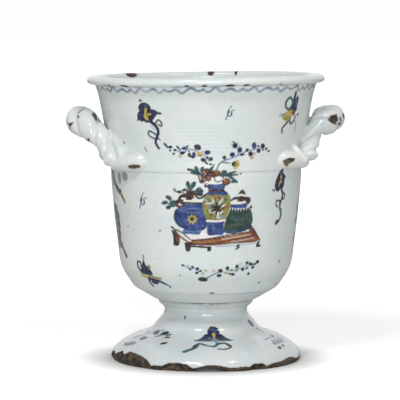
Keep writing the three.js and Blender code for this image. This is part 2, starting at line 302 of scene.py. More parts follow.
def glazed_clay(name, warm, cool, clay_light, clay_dark):
    """Glaze where the mark called bare is below 0, dark rough clay where it is above, and
    darkening for dirt and for painted shade by a third mark."""
    made = bpy.data.materials.new(name)
    made.use_nodes = True
    tree = made.node_tree
    place, colour, face = glaze_ground(tree, warm, cool)
    ragged = combined(tree, noise(tree, place, 2.2, 3, 0.6), "SUBTRACT", 0.5)
    bare = node(tree, "ShaderNodeAttribute", attribute_name="bare").outputs["Fac"]
    bare = combined(tree, bare, "ADD", combined(tree, ragged, "MULTIPLY", 1.1))
    stained = between(tree, bare, -1.3, 0.0, 0.0, 0.35)
    colour = mixed(tree, stained, colour, srgb(150, 132, 112))
    paint = node(tree, "ShaderNodeAttribute", attribute_name="paint").outputs
    streaks = between(tree, noise(tree, place, 1.8, 3, 0.6), 0.3, 0.75, 1.1, 0.9)
    colour = mixed(tree, combined(tree, paint["Alpha"], "MULTIPLY", streaks), colour, paint["Color"])
    # A third mark darkens the glaze, for dirt and for painted shade in crevices, creases, grooves and gaps.
    grime_and_shade = node(tree, "ShaderNodeAttribute", attribute_name="grime_and_shade").outputs["Fac"]
    patchy = between(tree, noise(tree, place, 3.0, 3), 0.3, 0.7, 0.7, 1.2)
    colour = mixed(tree, combined(tree, grime_and_shade, "MULTIPLY", patchy), colour, srgb(62, 52, 46))
    grains = between(tree, noise(tree, place, 1.3, 4, 0.65), 0.35, 0.68)
    broad = between(tree, noise(tree, place, 6, 2), 0.40, 0.62)
    clay = mixed(tree, combined(tree, grains, "MULTIPLY", broad), clay_dark, clay_light)
    open_clay = between(tree, bare, -0.06, 0.10)
    rough = between(tree, open_clay, 0, 1, 0.15, 0.88)
    clay_face = combined(tree, noise(tree, place, 1.0, 3, 0.6), "MULTIPLY", 0.25)
    height = node(tree, "ShaderNodeMix", {0: open_clay, 2: face, 3: clay_face}).outputs[0]
    bump = node(tree, "ShaderNodeBump", {"Height": height, "Strength": 1.0, "Distance": MM})
    shader = tree.nodes["Principled BSDF"]
    tree.links.new(mixed(tree, open_clay, colour, clay), shader.inputs["Base Color"])
    tree.links.new(rough, shader.inputs["Roughness"])
    tree.links.new(bump.outputs["Normal"], shader.inputs["Normal"])
    shader.inputs["IOR"].default_value = 1.52
    return made


def inside(across, up, corners):
    """How far points lie inside an outline of corners, in mm: above 0 in it, below 0 outside."""
    corners = np.array(corners, float)
    nearest = np.full(across.shape, 1e9)
    within = np.zeros(across.shape, bool)
    for (ax, ay), (bx, by) in zip(corners, np.roll(corners, -1, axis=0)):
        edge = np.array([bx - ax, by - ay])
        share = np.clip(((across - ax) * edge[0] + (up - ay) * edge[1]) / (edge @ edge), 0, 1)
        gap = np.hypot(across - ax - share * edge[0], up - ay - share * edge[1])
        nearest = np.minimum(nearest, gap)
        crosses = (ay > up) != (by > up)
        with np.errstate(divide="ignore", invalid="ignore"):
            within ^= crosses & (across < (bx - ax) * (up - ay) / (by - ay) + ax)
    return np.where(within, nearest, -nearest)


# How far inside a chip or a stroke, in mm, a point counts when it is well outside it. As the mark
# called bare, the first stands for glaze all over and the second for clay all over.
far_outside = -9.0
unglazed = 3.0

# The pigments brushed onto the raw glaze, each as its thin and its thick colour.
pigments = {
    "cobalt": (srgb(84, 118, 176), srgb(28, 52, 118)),
    "indigo": (srgb(54, 70, 142), srgb(24, 32, 88)),
    "navy": (srgb(38, 46, 106), srgb(12, 16, 52)),
    "sky": (srgb(150, 172, 204), srgb(88, 120, 168)),
    "smoke": (srgb(158, 174, 188), srgb(108, 132, 160)),
    "lilac": (srgb(172, 170, 200), srgb(120, 118, 166)),
    "teal": (srgb(94, 136, 136), srgb(34, 78, 80)),
    "green": (srgb(70, 100, 88), srgb(26, 56, 50)),
    "olive": (srgb(172, 174, 112), srgb(116, 120, 56)),
    "yellow": (srgb(216, 204, 128), srgb(186, 162, 66)),
    "ochre": (srgb(202, 164, 98), srgb(166, 112, 44)),
    "rust": (srgb(170, 104, 62), srgb(124, 64, 34)),
    "umber": (srgb(108, 72, 62), srgb(48, 26, 24)),
    "black": (srgb(50, 44, 54), srgb(14, 12, 18)),
    "white": (srgb(228, 228, 226), srgb(238, 236, 232)),
}


def up_the_side(outline, height):
    """How far up an outline, in mm, a height is reached; beyond its ends, straight on."""
    line = np.array(outline)
    along = np.concatenate([[0], np.cumsum(np.hypot(*np.diff(line, axis=0).T))])
    beyond = np.minimum(height - line[0, 1], 0) + np.maximum(height - line[-1, 1], 0)
    return np.interp(height, line[:, 1], along) + beyond


class Brushwork:
    """Pigment on the outside of a piece: a colour and how much of it, for each of its points. The
    strokes are in mm to the right and up from the place of their motif, seen squarely."""

    def __init__(self, turn, radius, height, outline):
        self.turn, self.radius, self.outline = turn, radius, outline
        self.along = up_the_side(outline, height)
        self.outside = on_outside(outline, radius, height)
        self.paint = np.zeros((len(turn), 4))

    def stand(self, turn, height, reach=20, size=1.0):
        """Moves to a motif's place, turn degrees from the front, and draws at a size."""
        off = (self.turn - math.radians(turn) + math.pi) % TAU - math.pi
        across = self.radius * np.sin(off) / size
        up = (self.along - up_the_side(self.outline, height)) / size
        near = self.outside & (abs(off) < 1.3) & (abs(across) < reach) & (abs(up) < reach)
        self.near = np.flatnonzero(near)
        self.across, self.up = across[near], up[near]

    def cover(self, pigment, pick, inward, strength):
        """Lays pigment on picked points, by how far inward in the stroke they are, in mm. The
        stroke's edge is half a millimetre soft and frayed by the hairs of the brush."""
        if not len(pick):
            return
        x, y = self.across[pick], self.up[pick]
        hairs = np.sin(2.1 * x + 1.2 * y) * np.sin(1.7 * y - 0.9 * x + 1)
        share = np.clip((inward + 0.42 + 0.08 * hairs) / 0.5, 0, 1) * strength
        thin, deep = (np.array(colour[:3]) for colour in pigments[pigment])
        pooled = np.clip(0.84 + 0.16 * np.sin(0.12 * x + 0.5 * y + np.sin(0.4 * x)) + 0.12 * hairs, 0, 1)
        colour = thin + (deep - thin) * pooled[:, None]
        under = self.paint[self.near[pick]]
        left = under[:, 3] * (1 - share)
        whole = np.maximum(share + left, 1e-6)
        mix = (colour * share[:, None] + under[:, :3] * left[:, None]) / whole[:, None]
        self.paint[self.near[pick]] = np.hstack([mix, whole[:, None]])

    def within(self, points, margin):
        """The points of the motif's surroundings in a box about the given places."""
        points = np.array(points, float)
        low, high = points.min(axis=0) - margin, points.max(axis=0) + margin
        in_width = (self.across > low[0]) & (self.across < high[0])
        in_height = (self.up > low[1]) & (self.up < high[1])
        return np.flatnonzero(in_width & in_height)

    def dab(self, pigment, x, y, wide, tall=None, lean=0, strength=1.0):
        """An oval touch of the brush, leaning by degrees to the left."""
        tall = tall or wide
        pick = self.within([(x, y)], 0.5 * max(wide, tall) + 1)
        angle = math.radians(lean)
        dx, dy = self.across[pick] - x, self.up[pick] - y
        u = (dx * math.cos(angle) + dy * math.sin(angle)) / (0.5 * wide)
        v = (dy * math.cos(angle) - dx * math.sin(angle)) / (0.5 * tall)
        self.cover(pigment, pick, (1 - np.hypot(u, v)) * 0.5 * min(wide, tall), strength)

    def dabs(self, pigment, *ovals, strength=1.0):
        """Touches of one pigment, each (x, y, wide, tall, lean) as in dab."""
        for oval in ovals:
            self.dab(pigment, *oval, strength=strength)

    def line(self, pigment, width, *points, strength=1.0, end=None):
        """A smooth stroke through points, from one width to another."""
        end = 0.6 * width if end is None else end
        pick = self.within(points, width + 1)
        x, y = self.across[pick], self.up[pick]
        path = smooth(points, 0.8)
        inward = np.full(len(pick), far_outside)
        for i in range(len(path) - 1):
            step = path[i + 1] - path[i]
            share = np.clip(((x - path[i, 0]) * step[0] + (y - path[i, 1]) * step[1]) / (step @ step), 0, 1)
            gap = np.hypot(x - path[i, 0] - share * step[0], y - path[i, 1] - share * step[1])
            half = 0.5 * (width + (end - width) * (i + share) / (len(path) - 1))
            inward = np.maximum(inward, half - gap)
        self.cover(pigment, pick, inward, strength)

    def field(self, pigment, *corners, strength=1.0):
        """A filled shape with softened corners."""
        pick = self.within(corners, 1)
        closed = smooth(list(corners) + [corners[0]], 0.8)[:-1]
        self.cover(pigment, pick, inside(self.across[pick], self.up[pick], closed), strength)


# Chips in the foot's edge, each by its corners in mm: how far along the edge from the front,
# towards the right, and how far up.
foot_chips = [
    [(-136, -4), (-128, 6), (-118, 9), (-110, 7), (-104, 9.5), (-98, 12), (-92, 9), (-86, 13), (-78, 12.5),
     (-68, 11), (-60, 8), (-55, 4), (-54, -4)],
    [(-49, -4), (-46, 3), (-38, 7), (-30, 7.5), (-22, 6), (-17, 2.5), (-14, -4)],
    [(28, -4), (30, 3), (35, 5.6), (44, 5.2), (47, 3), (48, -4)],
]


def iris_on_foot(brush):
    """A three-lobed blue flower with a yellow heart on two bent twigs."""
    brush.field("navy", (-15, -4.6), (-11, -1), (-7, 4), (-3, 5.6), (0, 2), (-2.6, -3.6), (-8, -5.2))
    brush.field("navy", (14.4, -4.8), (10.6, -1), (7.4, 3.6), (3.6, 5.6), (0.4, 2), (3, -3.6), (8, -5.4))
    brush.line("teal", 2.2, (-15.4, -5), (-6, -5.4), (0, -5), (6, -5.6), (15, -5.4))
    brush.dab("navy", 0.4, 7.2, 9.8, 10)
    brush.dab("umber", -0.6, 11.6, 3.6, 1.6)
    brush.dab("indigo", 0.8, 7.8, 4, 4.8)
    brush.dab("yellow", 0.4, 3.6, 2.4, 4.8)
    brush.dab("umber", 0.4, -2.6, 4.4, 1.8, strength=0.8)
    brush.dab("sky", -3.6, -0.6, 2.6, 2.8, strength=0.6)
    brush.line("sky", 3, (0.8, -6), (1.4, -10), (-0.4, -14))
    brush.line("teal", 2.6, (-27, -22.4), (-21, -19), (-17, -16.4), (-13, -10.4), (-8, -13), (-3, -14.6))
    brush.line("umber", 1.6, (-19, -15.6), (-13.4, -10), (-8, -12))
    brush.line("teal", 2.2, (-2, -15), (3, -10.6), (7, -9.6), (12, -16))
    brush.line("umber", 1.8, (3, -9.8), (8.6, -10.2), (12.4, -15.8), (8, -18.6), (1, -18.4))


def sprig_on_foot(brush):
    """A loose spray of dabs: blue berries, a few leaves and a grey one trailing off."""
    brush.dabs("navy", (-13, 1.6, 7.6, 6.2, -25), (-2.4, 2.6, 8.4, 5.2, 20))
    brush.dab("cobalt", 3.4, 1.4, 4.6, 2.4, 30)
    brush.dabs("navy", (5.4, -2.4, 4.8, 2.4), (-5.6, -2.4, 5.6, 2.6, 30))
    brush.dab("black", 10.4, -12.6, 5.6, 3.6, 28)
    brush.dab("indigo", -18, -10, 8.4, 5.8, 20)
    brush.dabs("black", (-13, 1.2, 3.6, 3, -25), (-1.6, 2.2, 4.4, 2.4, 20), strength=0.7)
    brush.line("sky", 1.4, (-26, -8), (-22, -3), (-16, 3.6), (-6, 6))
    brush.dab("lilac", -27, -0.6, 7, 3, 25)
    brush.dab("lilac", -30, -11, 9, 5, 30, strength=0.8)
    brush.dab("green", -26.8, -21, 16, 5.4, 20, strength=0.65)
    brush.line("black", 1.8, (-36, -22), (-30, -22.6), (-22, -18), strength=0.8)


def fern_on_foot(brush):
    """A small hatched leaf with dots."""
    for k in range(6):
        brush.line("navy", 1.8, (-10.0 + 4.0 * k, -2.4), (-5.6 + 4.0 * k, 3.4 - 0.4 * k))
    brush.dabs("navy", (-10, -7.4, 6, 3, 15), (-1.6, -6.4, 4.6, 2.2, 15))
    brush.line("lilac", 1.2, (-12, 6), (0, 7), (13, 3.4))


def foot_brushwork(turn, radius, height):
    """The foot's painting: an iris in front and behind, sprays between, a mark on the stem."""
    brush = Brushwork(turn, radius, height, foot_outline)
    for front in (0, 180):
        brush.stand(front + 3, 24.0, 32)
        iris_on_foot(brush)
        brush.stand(front - 49, 24.0, 40)
        sprig_on_foot(brush)
        brush.stand(front + 62, 18.0, 20)
        fern_on_foot(brush)
        brush.stand(front - 34, 38.6, 4)
        brush.dab("navy", 0, 0, 1.1, 2.6, 12)
        brush.stand(front + 66, 31.7, 26)
        brush.dab("navy", -2.4, 0.0, 6.4, 7.6, 24)
        brush.line("black", 2.4, (2.4, -6.6), (4.2, -10.0), (4.0, -12.6), end=1.8)
        brush.dab("black", 3.4, -20.4, 6.0, 3.2, 20)
    return brush.paint


def foot_wear(turn, radius, height, points):
    """Carves the chips, hollows the standing ring under the front and marks the bare clay, the
    painted shadow in the hollow and the painting."""
    along = np.where(turn > math.pi, turn - TAU, turn) * foot_radius
    up = height + 0.35 * (foot_radius - radius)
    outer = on_outside(foot_outline, radius, height)
    worn = 3.0 + 0.7 * np.sin(along / 9) + 0.5 * np.sin(along / 4.1 + 1)
    worn = worn + 2.4 * np.exp(-((along - 82) / 26) ** 2) + 1.2 * np.exp(-((along + 4) / 14) ** 2)
    bare = np.where(outer, worn - height, far_outside)
    depth = np.zeros(len(turn))
    for corners in foot_chips:
        deep = np.where(outer, inside(along, up, corners), far_outside)
        bare = np.maximum(bare, deep)
        facets = 0.5 + 0.3 * np.sin(along * 0.9 + 2 * np.sin(up * 0.6))
        facets = facets + 0.25 * np.sin(up * 1.7 + along * 0.35)
        depth = np.maximum(depth, np.clip(deep, 0, 1.6) * (0.55 + facets))
    bare = np.where(outer | (height > 42), bare, unglazed)
    carved = points.copy()
    shrink = 1 - depth / np.maximum(radius, 1)
    carved[:, 0] *= shrink
    carved[:, 1] *= shrink
    hollow = np.exp(-((along + 4) / 10) ** 2)
    gap = hollow * np.clip(1 - height / 7, 0, 1) * (radius > 62)
    carved[:, 2] += 4.4 * MM * gap
    # Painted shadow: the edge of the ring is darkened where it is lifted, standing in for the dark gap under
    # it.
    painted_gap_shadow = 0.9 * hollow * np.clip(3.6 - height, 0, 1) * (radius > 66)
    return carved, {"bare": bare, "grime_and_shade": painted_gap_shadow, "paint": foot_brushwork(turn, radius, height)}


clay_light = srgb(118, 97, 76)
clay_dark = srgb(38, 30, 25)
foot_glaze = glazed_clay("foot tin glaze", srgb(214, 220, 220), srgb(204, 213, 215), clay_light, clay_dark)
foot_profile = np.vstack([smooth(foot_outline, 0.65), smooth(foot_inside, 2.4)])
foot = thrown("foot", foot_profile, segments_round, foot_glaze, foot_wear)
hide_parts("foot")


# Collar: a thick ring of clay between the foot and the bowl, luted to both with slip and glazed
# over with them.

collar_outline = [
    (34.9, 43.0), (35.5, 44.4), (36.9, 45.9), (38.6, 47.3), (39.7, 48.9), (40.0, 50.3), (39.8, 51.5),
]
collar_segments = 480
body_warm = srgb(229, 233, 230)
body_cool = srgb(219, 230, 230)
body_glaze = glazed_clay("body tin glaze", body_warm, body_cool, clay_light, clay_dark)


def collar_wear(turn, radius, height, points):
    """Marks dirt and painted shade in the crevice under the bowl, darkest in front, and painted shade on the
    collar's upper part.
    """
    # Dirt and painted shade in the crevice, darker towards the front; painted shade on the upper part of the
    # collar, under the bowl.
    from_front = abs((np.degrees(turn) + 183) % 360 - 180)
    darkness = 0.30 + 0.60 * np.exp(-(from_front / 26) ** 2)
    crevice_dirt_and_shade = np.clip((height - 49.6) / 1.4, 0, 1) * darkness
    shade = np.clip((height - 45.0) / 5.0, 0, 1) * 0.30
    grime_and_shade = np.maximum(crevice_dirt_and_shade, shade) * (radius > 34)
    bare = np.full(len(turn), far_outside)
    return points, {"bare": bare, "grime_and_shade": grime_and_shade, "paint": np.zeros((len(turn), 4))}


collar_inside = [(stem_bore, 51.5), (stem_bore, 43.0)]
collar_profile = np.vstack([smooth(collar_outline, 0.6), smooth(collar_inside, 3.0)])
neck_collar = thrown("neck_collar", collar_profile, collar_segments, body_glaze, collar_wear)
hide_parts("neck_collar")


# Bowl: the lower thrown section, with a thick floor, a sloping underside, a crease where the
# slope was trimmed, and a round belly. The upper section is luted onto its rim, and the painting
# of both starts here, because it runs over the seam.

bowl_under = [(41.6, 51.7), (43.2, 52.0), (47.5, 54.4), (53.0, 57.6), (59.4, 61.4)]
bowl_side = [
    (59.4, 61.4), (61.2, 63.1), (65.2, 68.6), (68.9, 74.4), (71.4, 79.8), (73.0, 86.5), (74.1, 95.0),
    (75.4, 106.0), (77.0, 119.0), (78.5, 135.0), (79.8, 150.0), (80.4, 162.5),
]
bowl_outline = bowl_under + bowl_side[1:]
above_floor = bowl_side[6:]
wall_thickness = 6.5
bowl_floor = [(66.5, 92.0), (62.0, 78.0), (52.0, 68.0), (40.0, 62.0), (30.0, 60.2), (14.0, 60.0)]


def berry_sprays(brush):
    """The two sprays that rise out of the middle vase: pale stems, berries and small flowers."""
    brush.line("sky", 0.7, (-25, 47), (-22, 50), (-17, 49), (-13, 47), (-8, 44), (-5, 40))
    brush.line("sky", 0.7, (-33, 49.5), (-28, 48), (-24, 47.5))
    brush.line("black", 1.5, (-40.5, 54.5), (-38, 51.4), end=1.1)
    brush.line("black", 1.4, (-30.6, 52.2), (-28, 49.4))
    for x, y, size in ((-36, 49, 1.6), (-32.3, 49.3, 2.2), (-33.3, 46.3, 1.8), (-22.5, 52.5, 1.5),
                       (-21.3, 48.4, 1.2)):
        brush.dab("black", x, y, size, 0.85 * size)
    brush.dabs("indigo", (-35.9, 51.8, 2.8, 2.2), (-24.9, 50.8, 4.2, 2.6, 10))
    brush.dab("ochre", -27.9, 44.6, 3, 3.2, -30, strength=0.5)
    brush.dab("indigo", -26.5, 47, 3.6, 2.4)
    brush.dab("navy", -26.9, 46.6, 2.2, 1.2)
    brush.dabs("umber", (-14.5, 51.6, 5, 4.4), (-20.4, 45.3, 3.4, 3.6))
    brush.dab("navy", -15.4, 52.4, 3.4, 2.6)
    brush.dab("black", -12.9, 50.4, 2.2, 2)
    brush.dab("indigo", -17.7, 45, 3.6, 5, -15)
    brush.dab("white", -19.2, 46.2, 0.9, 1.1)
    brush.dab("yellow", -12.5, 45.6, 4.4, 3.4)
    brush.dab("olive", -12.2, 44.8, 2.4, 2, strength=0.7)
    brush.dab("ochre", -10.6, 48, 1.8, 1.4, strength=0.5)
    brush.dab("indigo", -6.5, 47.2, 4.6, 3.4)
    brush.dab("black", -6.5, 43, 2.2, 2)
    brush.dab("umber", -3.6, 41.8, 2.8, 3)
    brush.dab("black", -4.2, 41.2, 1.6, 1.8)
    brush.dab("indigo", -9.7, 41.2, 4, 3.2, -20)
    brush.line("black", 1.8, (-8.4, 40), (-6.4, 37.8))
    brush.dab("black", -3.9, 37.6, 2, 1.7)
    brush.line("teal", 0.8, (1.2, 33.5), (2.6, 36.6), (4.8, 38.9), (8, 38.6), (11.9, 38.3))
    brush.line("sky", 0.8, (5, 39.3), (9, 40.9), (14, 42.4), (17.8, 44), (19, 47.5))
    brush.line("sky", 0.7, (17, 43.6), (22, 46), (27, 48), (33, 49), (38, 49.6))
    brush.dabs("yellow", (13.4, 53.4, 1.8, 1.6), (18.4, 54.6, 1.8, 1.4), strength=0.6)
    brush.dab("ochre", 19.6, 52.4, 1.6, 1.4, strength=0.6)
    brush.dab("umber", 14.6, 55.4, 2, 1.6, strength=0.8)
    brush.dab("black", 16, 52.4, 4, 4.4, -20)
    brush.dab("indigo", 16.2, 52.6, 2, 1.8, strength=0.5)
    brush.dab("indigo", 19.9, 48.9, 4, 4.4)
    brush.dab("navy", 13.9, 45.1, 4, 3.6)
    brush.dabs("indigo", (14.5, 45.2, 1.8, 1.6), (32, 52, 3.6, 5))
    brush.dab("umber", 7.3, 42.9, 2.8, 2.8)
    brush.dab("black", 7.9, 42.3, 1.6, 1.6)
    brush.dab("yellow", 17.4, 37.8, 4.6, 5)
    brush.dab("yellow", 16.4, 34.6, 3.6, 2.6, strength=0.8)
    brush.dab("ochre", 19, 36.4, 2, 2.2, strength=0.6)
    brush.dabs("black", (15.4, 37.4, 3.9, 3.6), (26.1, 48.6, 2.2, 2.6))
    brush.dab("olive", 16.2, 37, 1.6, 1.6)
    brush.line("black", 1.6, (21.4, 44.8), (23.6, 44.9))
    brush.dab("ochre", 30.3, 42.2, 2.8, 2.6, strength=0.8)
    brush.dab("yellow", 32.3, 45.4, 1.8, 1.8, strength=0.8)
    brush.dabs("black", (29.1, 45.4, 3.8, 3.8), (35.6, 51.3, 1.7, 1.5))
    brush.dab("indigo", 28.8, 45.8, 1.4, 1.2, strength=0.7)
    brush.dabs("navy", (35.9, 47.6, 3.2, 3.4), (39.4, 51.4, 3.6, 3.8))
    brush.dabs("black", (39.5, 48.4, 1.5, 1.6), (42.4, 48.9, 2.2, 1.6, 30), (44.6, 47, 1.8, 1.4, 30))


def leaves_and_blooms(brush):
    """Green leaves and rust-red blooms, outlined in brown, that stand in the middle vase."""
    brush.line("teal", 2, (-21.6, 33.4), (-18, 32.6), (-13, 30), end=1.6)
    brush.line("teal", 2, (-18.8, 30.8), (-15, 29.6), (-11.6, 29.2), end=1.6)
    brush.dabs("teal", (-15, 33.8, 3, 4.8, 24), (-10.6, 33.4, 3.2, 4.6, -14), (7.2, 30.6, 4.6, 4.2))
    brush.line("green", 0.7, (-16, 35.4), (-14, 32), (-11.6, 29.6))
    brush.line("green", 0.7, (-10.2, 35.2), (-10.8, 31.4))
    brush.line("teal", 3.2, (-5.2, 31.4), (-3.2, 33.8), (-1.2, 37), end=1.2)
    brush.line("green", 0.7, (-5.2, 31.4), (-2.6, 34.6))
    brush.line("teal", 2.6, (4.4, 28.4), (10, 28.4), (18.4, 28.3), end=1.2)
    brush.line("teal", 2.2, (9, 27.8), (12.6, 29.8), (16.2, 31), end=1.4)
    brush.line("teal", 2.4, (11.6, 27.4), (14.4, 25.2), (17.8, 22.4), end=1.6)
    brush.dab("teal", 15, 22.8, 4.2, 2.2, 12)
    brush.line("green", 0.7, (5, 28.6), (10, 28.6), (16.4, 28.4))
    brush.dab("black", 21.1, 29.1, 1.2, 1)
    brush.dabs("rust", (-6.8, 31, 4.4, 5), (-9.6, 27.6, 4.6, 5), (-6.2, 26, 4.8, 4.4))
    brush.dab("umber", -10.6, 23.6, 4.4, 3.2)
    brush.dabs("white", (-8.4, 29.4, 1.6, 1.4), (-7.6, 25, 1.6, 1.2), strength=0.6)
    brush.line("umber", 0.9, (-13.4, 27.6), (-12.4, 24.6), (-10, 22.8), (-7.6, 24.4), (-8.6, 27),
               (-11, 27.4))
    brush.line("umber", 0.9, (-9, 33), (-6.4, 33.8), (-4.6, 31.6), (-5.6, 28.8), (-8.4, 28.8),
               (-10.4, 31))
    brush.line("black", 0.8, (-7.4, 27.6), (-4.6, 28.4), (-3.4, 25.6), (-5.4, 23.4))
    brush.dab("black", -7.2, 20, 3, 3.2)
    brush.dabs("white", (-6.8, 20.6, 0.8, 0.9), (-1, 31, 2.6, 2.2))
    brush.dab("rust", 0.2, 29.2, 8, 4.8)
    brush.dab("ochre", 2.6, 30.8, 3, 2.4, strength=0.8)
    brush.line("umber", 1, (-4.2, 28.6), (-2.6, 31.2), (0, 32.4), (3, 31.4), (4.2, 29))
    brush.line("umber", 0.9, (-3.4, 27.4), (0, 26.8), (3.4, 28.4))
    brush.dab("white", 2.4, 25.4, 5.6, 4)
    brush.line("umber", 0.7, (-0.6, 26.6), (0.2, 23.8), (2.6, 22.8), (5.4, 24))
    brush.dab("rust", 9.2, 22.8, 5.6, 4.2)
    brush.dab("ochre", 8.4, 23.8, 2.2, 1.4, strength=0.7)
    brush.line("umber", 1.2, (-11.6, 29.6), (-9.8, 26), (-11.6, 22.4), end=0.9)
    brush.line("umber", 1, (-6.4, 29.4), (-7.6, 26.4), (-5.6, 24))
    brush.line("umber", 1.1, (-3.8, 31), (-0.6, 28.4), (3.4, 29.8), strength=0.8)
    brush.dabs("umber", (0.4, 27.8, 4.4, 1.6), (10.2, 21.4, 3.4, 1.8, 10), strength=0.7)
    brush.line("umber", 0.9, (6.2, 24), (7, 20.8), (10, 20.6), (12.2, 22.8), (10.6, 25.2), (7.4, 25.4),
               (5.8, 27))


def jars(brush):
    """Three jars side by side: a blue one, a tall vase with a flowered middle, and a green one."""
    brush.field("cobalt", (-24.5, 1.8), (-16, 2.4), (-9.5, 1.5), (-7.6, -3), (-6.4, -9), (-6.8, -14),
                (-9.6, -16.6), (-18, -16.6), (-26.7, -14.6), (-31, -11), (-32.8, -5.6), (-31.6, -0.6),
                (-28.8, 1.6))
    brush.line("navy", 3, (-30.4, -1), (-31.2, -7), (-28.4, -12.4), (-22, -14.8), end=1.6, strength=0.6)
    brush.line("navy", 2, (-27, -3), (-27.6, -8), (-24.4, -12), strength=0.4)
    brush.line("navy", 1.8, (-25, 0.8), (-20, -0.6), (-13, -0.4), (-9, -2.8), strength=0.45)
    brush.line("sky", 1.6, (-27.6, 0.2), (-22, -1.6), (-16, -2.2), (-12, -1.8), strength=0.35)
    brush.line("navy", 1.4, (-13, -15.6), (-8.6, -14.6), (-7.4, -9.6), strength=0.7)
    brush.line("sky", 1.2, (-22.6, 0.4), (-17, 1.2), (-12.4, 0.4), strength=0.55)
    brush.field("cobalt", (-23.7, 5.2), (-16, 4.8), (-9.4, 5.6), (-9.2, 1.6), (-17, 2.4), (-24.8, 1.6))
    brush.field("sky", (-24, -14.8), (-17, -16.4), (-11.3, -16.2), (-12.2, -20), (-19, -19.9),
                (-26, -19.2))
    brush.line("cobalt", 1.1, (-24.6, -18.4), (-18, -19), (-12.6, -18.8), strength=0.8)
    brush.line("cobalt", 1.3, (-24, -15.6), (-18, -16.8), (-11.6, -16.6))
    brush.line("white", 1.6, (-24.4, 7.3), (-17, 7.2), (-9.6, 7.4), end=1.4)
    brush.line("umber", 1.2, (-24.4, 5.9), (-17, 5.7), (-9.8, 5.7), end=1)
    brush.dab("black", -18.1, -7.7, 8, 7.4, strength=0.35)
    for k in range(8):
        turn = TAU * k / 8 + 0.2
        x, y = -18.1 + 2.7 * math.cos(turn), -7.7 + 2.6 * math.sin(turn)
        brush.dab("yellow", x, y, 2.2, 1.3, math.degrees(turn))
    brush.dab("umber", -18.3, -7.5, 3, 3.2)
    brush.dab("black", -18.3, -7.7, 1.6, 1.8)
    brush.field("green", (12.5, -0.3), (21, 0.2), (29.1, -0.3), (31.2, -5.6), (31.5, -10), (29.4, -15),
                (26, -17.8), (20, -19.2), (8.9, -19.2), (7.4, -16.4), (8.3, -11.6), (9.5, -7.4),
                (11.3, -3.3))
    brush.line("cobalt", 2.4, (10, -18.2), (17, -18.4), (24, -16.6), (28.6, -12.6), strength=0.5)
    brush.line("teal", 1.8, (28.6, -2), (30.2, -7), (29.6, -12), strength=0.55)
    brush.line("teal", 2, (13.6, -7), (19, -8.6), (26, -7.6), strength=0.35)
    brush.line("olive", 1.4, (12, -13.6), (18, -12.4), (25, -13.2), strength=0.25)
    brush.line("black", 1.4, (11, -3.6), (9, -9), (8, -16), strength=0.4)
    brush.field("cobalt", (12.7, 4.6), (19, 4.2), (26.4, 5.2), (26.1, 1.4), (19, 0.9), (13, 0.8))
    brush.line("white", 1.5, (12.6, 5.4), (19, 5), (26.2, 5.8), end=1.3)
    for x, y in ((13.4, -0.4), (15.6, -0.9), (18, -1.4), (20.4, -1.4), (22.8, -1.1), (25.2, -0.6), (27.4, 0)):
        brush.dab("white", x + 1, y + 0.8, 1, 1.8, -12, strength=0.8)
        brush.dab("black", x, y, 1.2, 2.2, -12)
    brush.field("black", (28.4, 0.6), (30.6, 0.2), (30.6, 3), (29.4, 1.8))
    brush.field("umber", (12.9, 7.4), (15.6, 9.8), (19.4, 10.2), (24, 9.8), (29, 9.2), (29.6, 7.2),
                (27.8, 4), (26.4, 4.2), (25.4, 6.6), (20.6, 6.2), (15, 6.6))
    brush.line("black", 0.9, (13.2, 7.4), (16.4, 9.6), (21.6, 9.6), (28.8, 8.8))
    brush.dab("white", 16.8, 7, 4, 1.5)
    brush.dab("rust", 19.4, 7, 2.6, 1.2, strength=0.6)
    brush.field("umber", (18.8, 12.2), (22.6, 16), (25.2, 12.2), (24.8, 10.6), (19.4, 10.8))
    brush.line("green", 1.2, (20.6, 13.4), (22.6, 15.6), strength=0.7)
    brush.line("white", 1.3, (19, 11.2), (22, 11.8), (24.6, 11), end=1.1)
    brush.field("olive", (-3, 15.1), (6.5, 15.1), (10.7, 12.7), (12.7, 9.2), (12.6, 4.4), (11.6, -0.3),
                (9.6, -5), (8.3, -8.2), (1, -8.6), (-5.9, -8.2), (-8.3, -3.9), (-9.6, 0.9), (-9.8, 5.6),
                (-8.9, 9.8), (-6.5, 12.9))
    brush.field("cobalt", (-5.4, 14.4), (-2, 15.8), (6.6, 15.8), (10.2, 13.6), (9, 12), (2, 13),
                (-5, 12.2))
    brush.dabs("ochre", (2.6, 9.4, 8.6, 3.6), (9.6, 2.8, 3.4, 4.2, 15), (-6.4, 2.6, 3.2, 3.4),
               strength=0.8)
    brush.line("rust", 0.8, (-1.4, 8), (1, 10.4), (4, 10.2), (6.4, 8.6))
    brush.line("rust", 0.8, (7.8, 1.4), (9.8, 3.4), (11, 1.6))
    brush.dab("green", -7.4, 7.8, 2.2, 3.6, 20, strength=0.9)
    brush.dab("green", 8.6, 8.4, 3, 1.8, -40, strength=0.8)
    brush.dab("green", 0.4, -6, 6, 1.4, strength=0.7)
    brush.line("white", 0.9, (-8, 8.6), (-6.6, 7), strength=0.7)
    for k in range(34):
        turn = 2.4 * k
        reach = 1.5 * math.sqrt(k + 6)
        x, y = 1.3 + 0.86 * reach * math.cos(turn), 2.8 + 1.15 * reach * math.sin(turn)
        touch = ("yellow", "teal", "white", "sky", "green", "ochre", "black")[k % 7]
        wide, tall, lean = 0.9 + 0.25 * (k % 3), 2.4 + 0.3 * (k % 4), math.degrees(turn) - 70 + 25 * (k % 3)
        brush.dab(touch, x, y, wide, tall, lean, strength=0.75)
    for x, y, lean in ((-1.6, 7, 20), (4.4, 6.2, -30), (6.6, 3, -70), (-3.8, -1, 40), (5.4, -2.2, -40),
                       (2.6, -3.8, 0)):
        brush.dab("black", x, y, 2, 3.8, lean, strength=0.6)
        brush.dab("white", x, y, 1.2, 3, lean, strength=0.9)
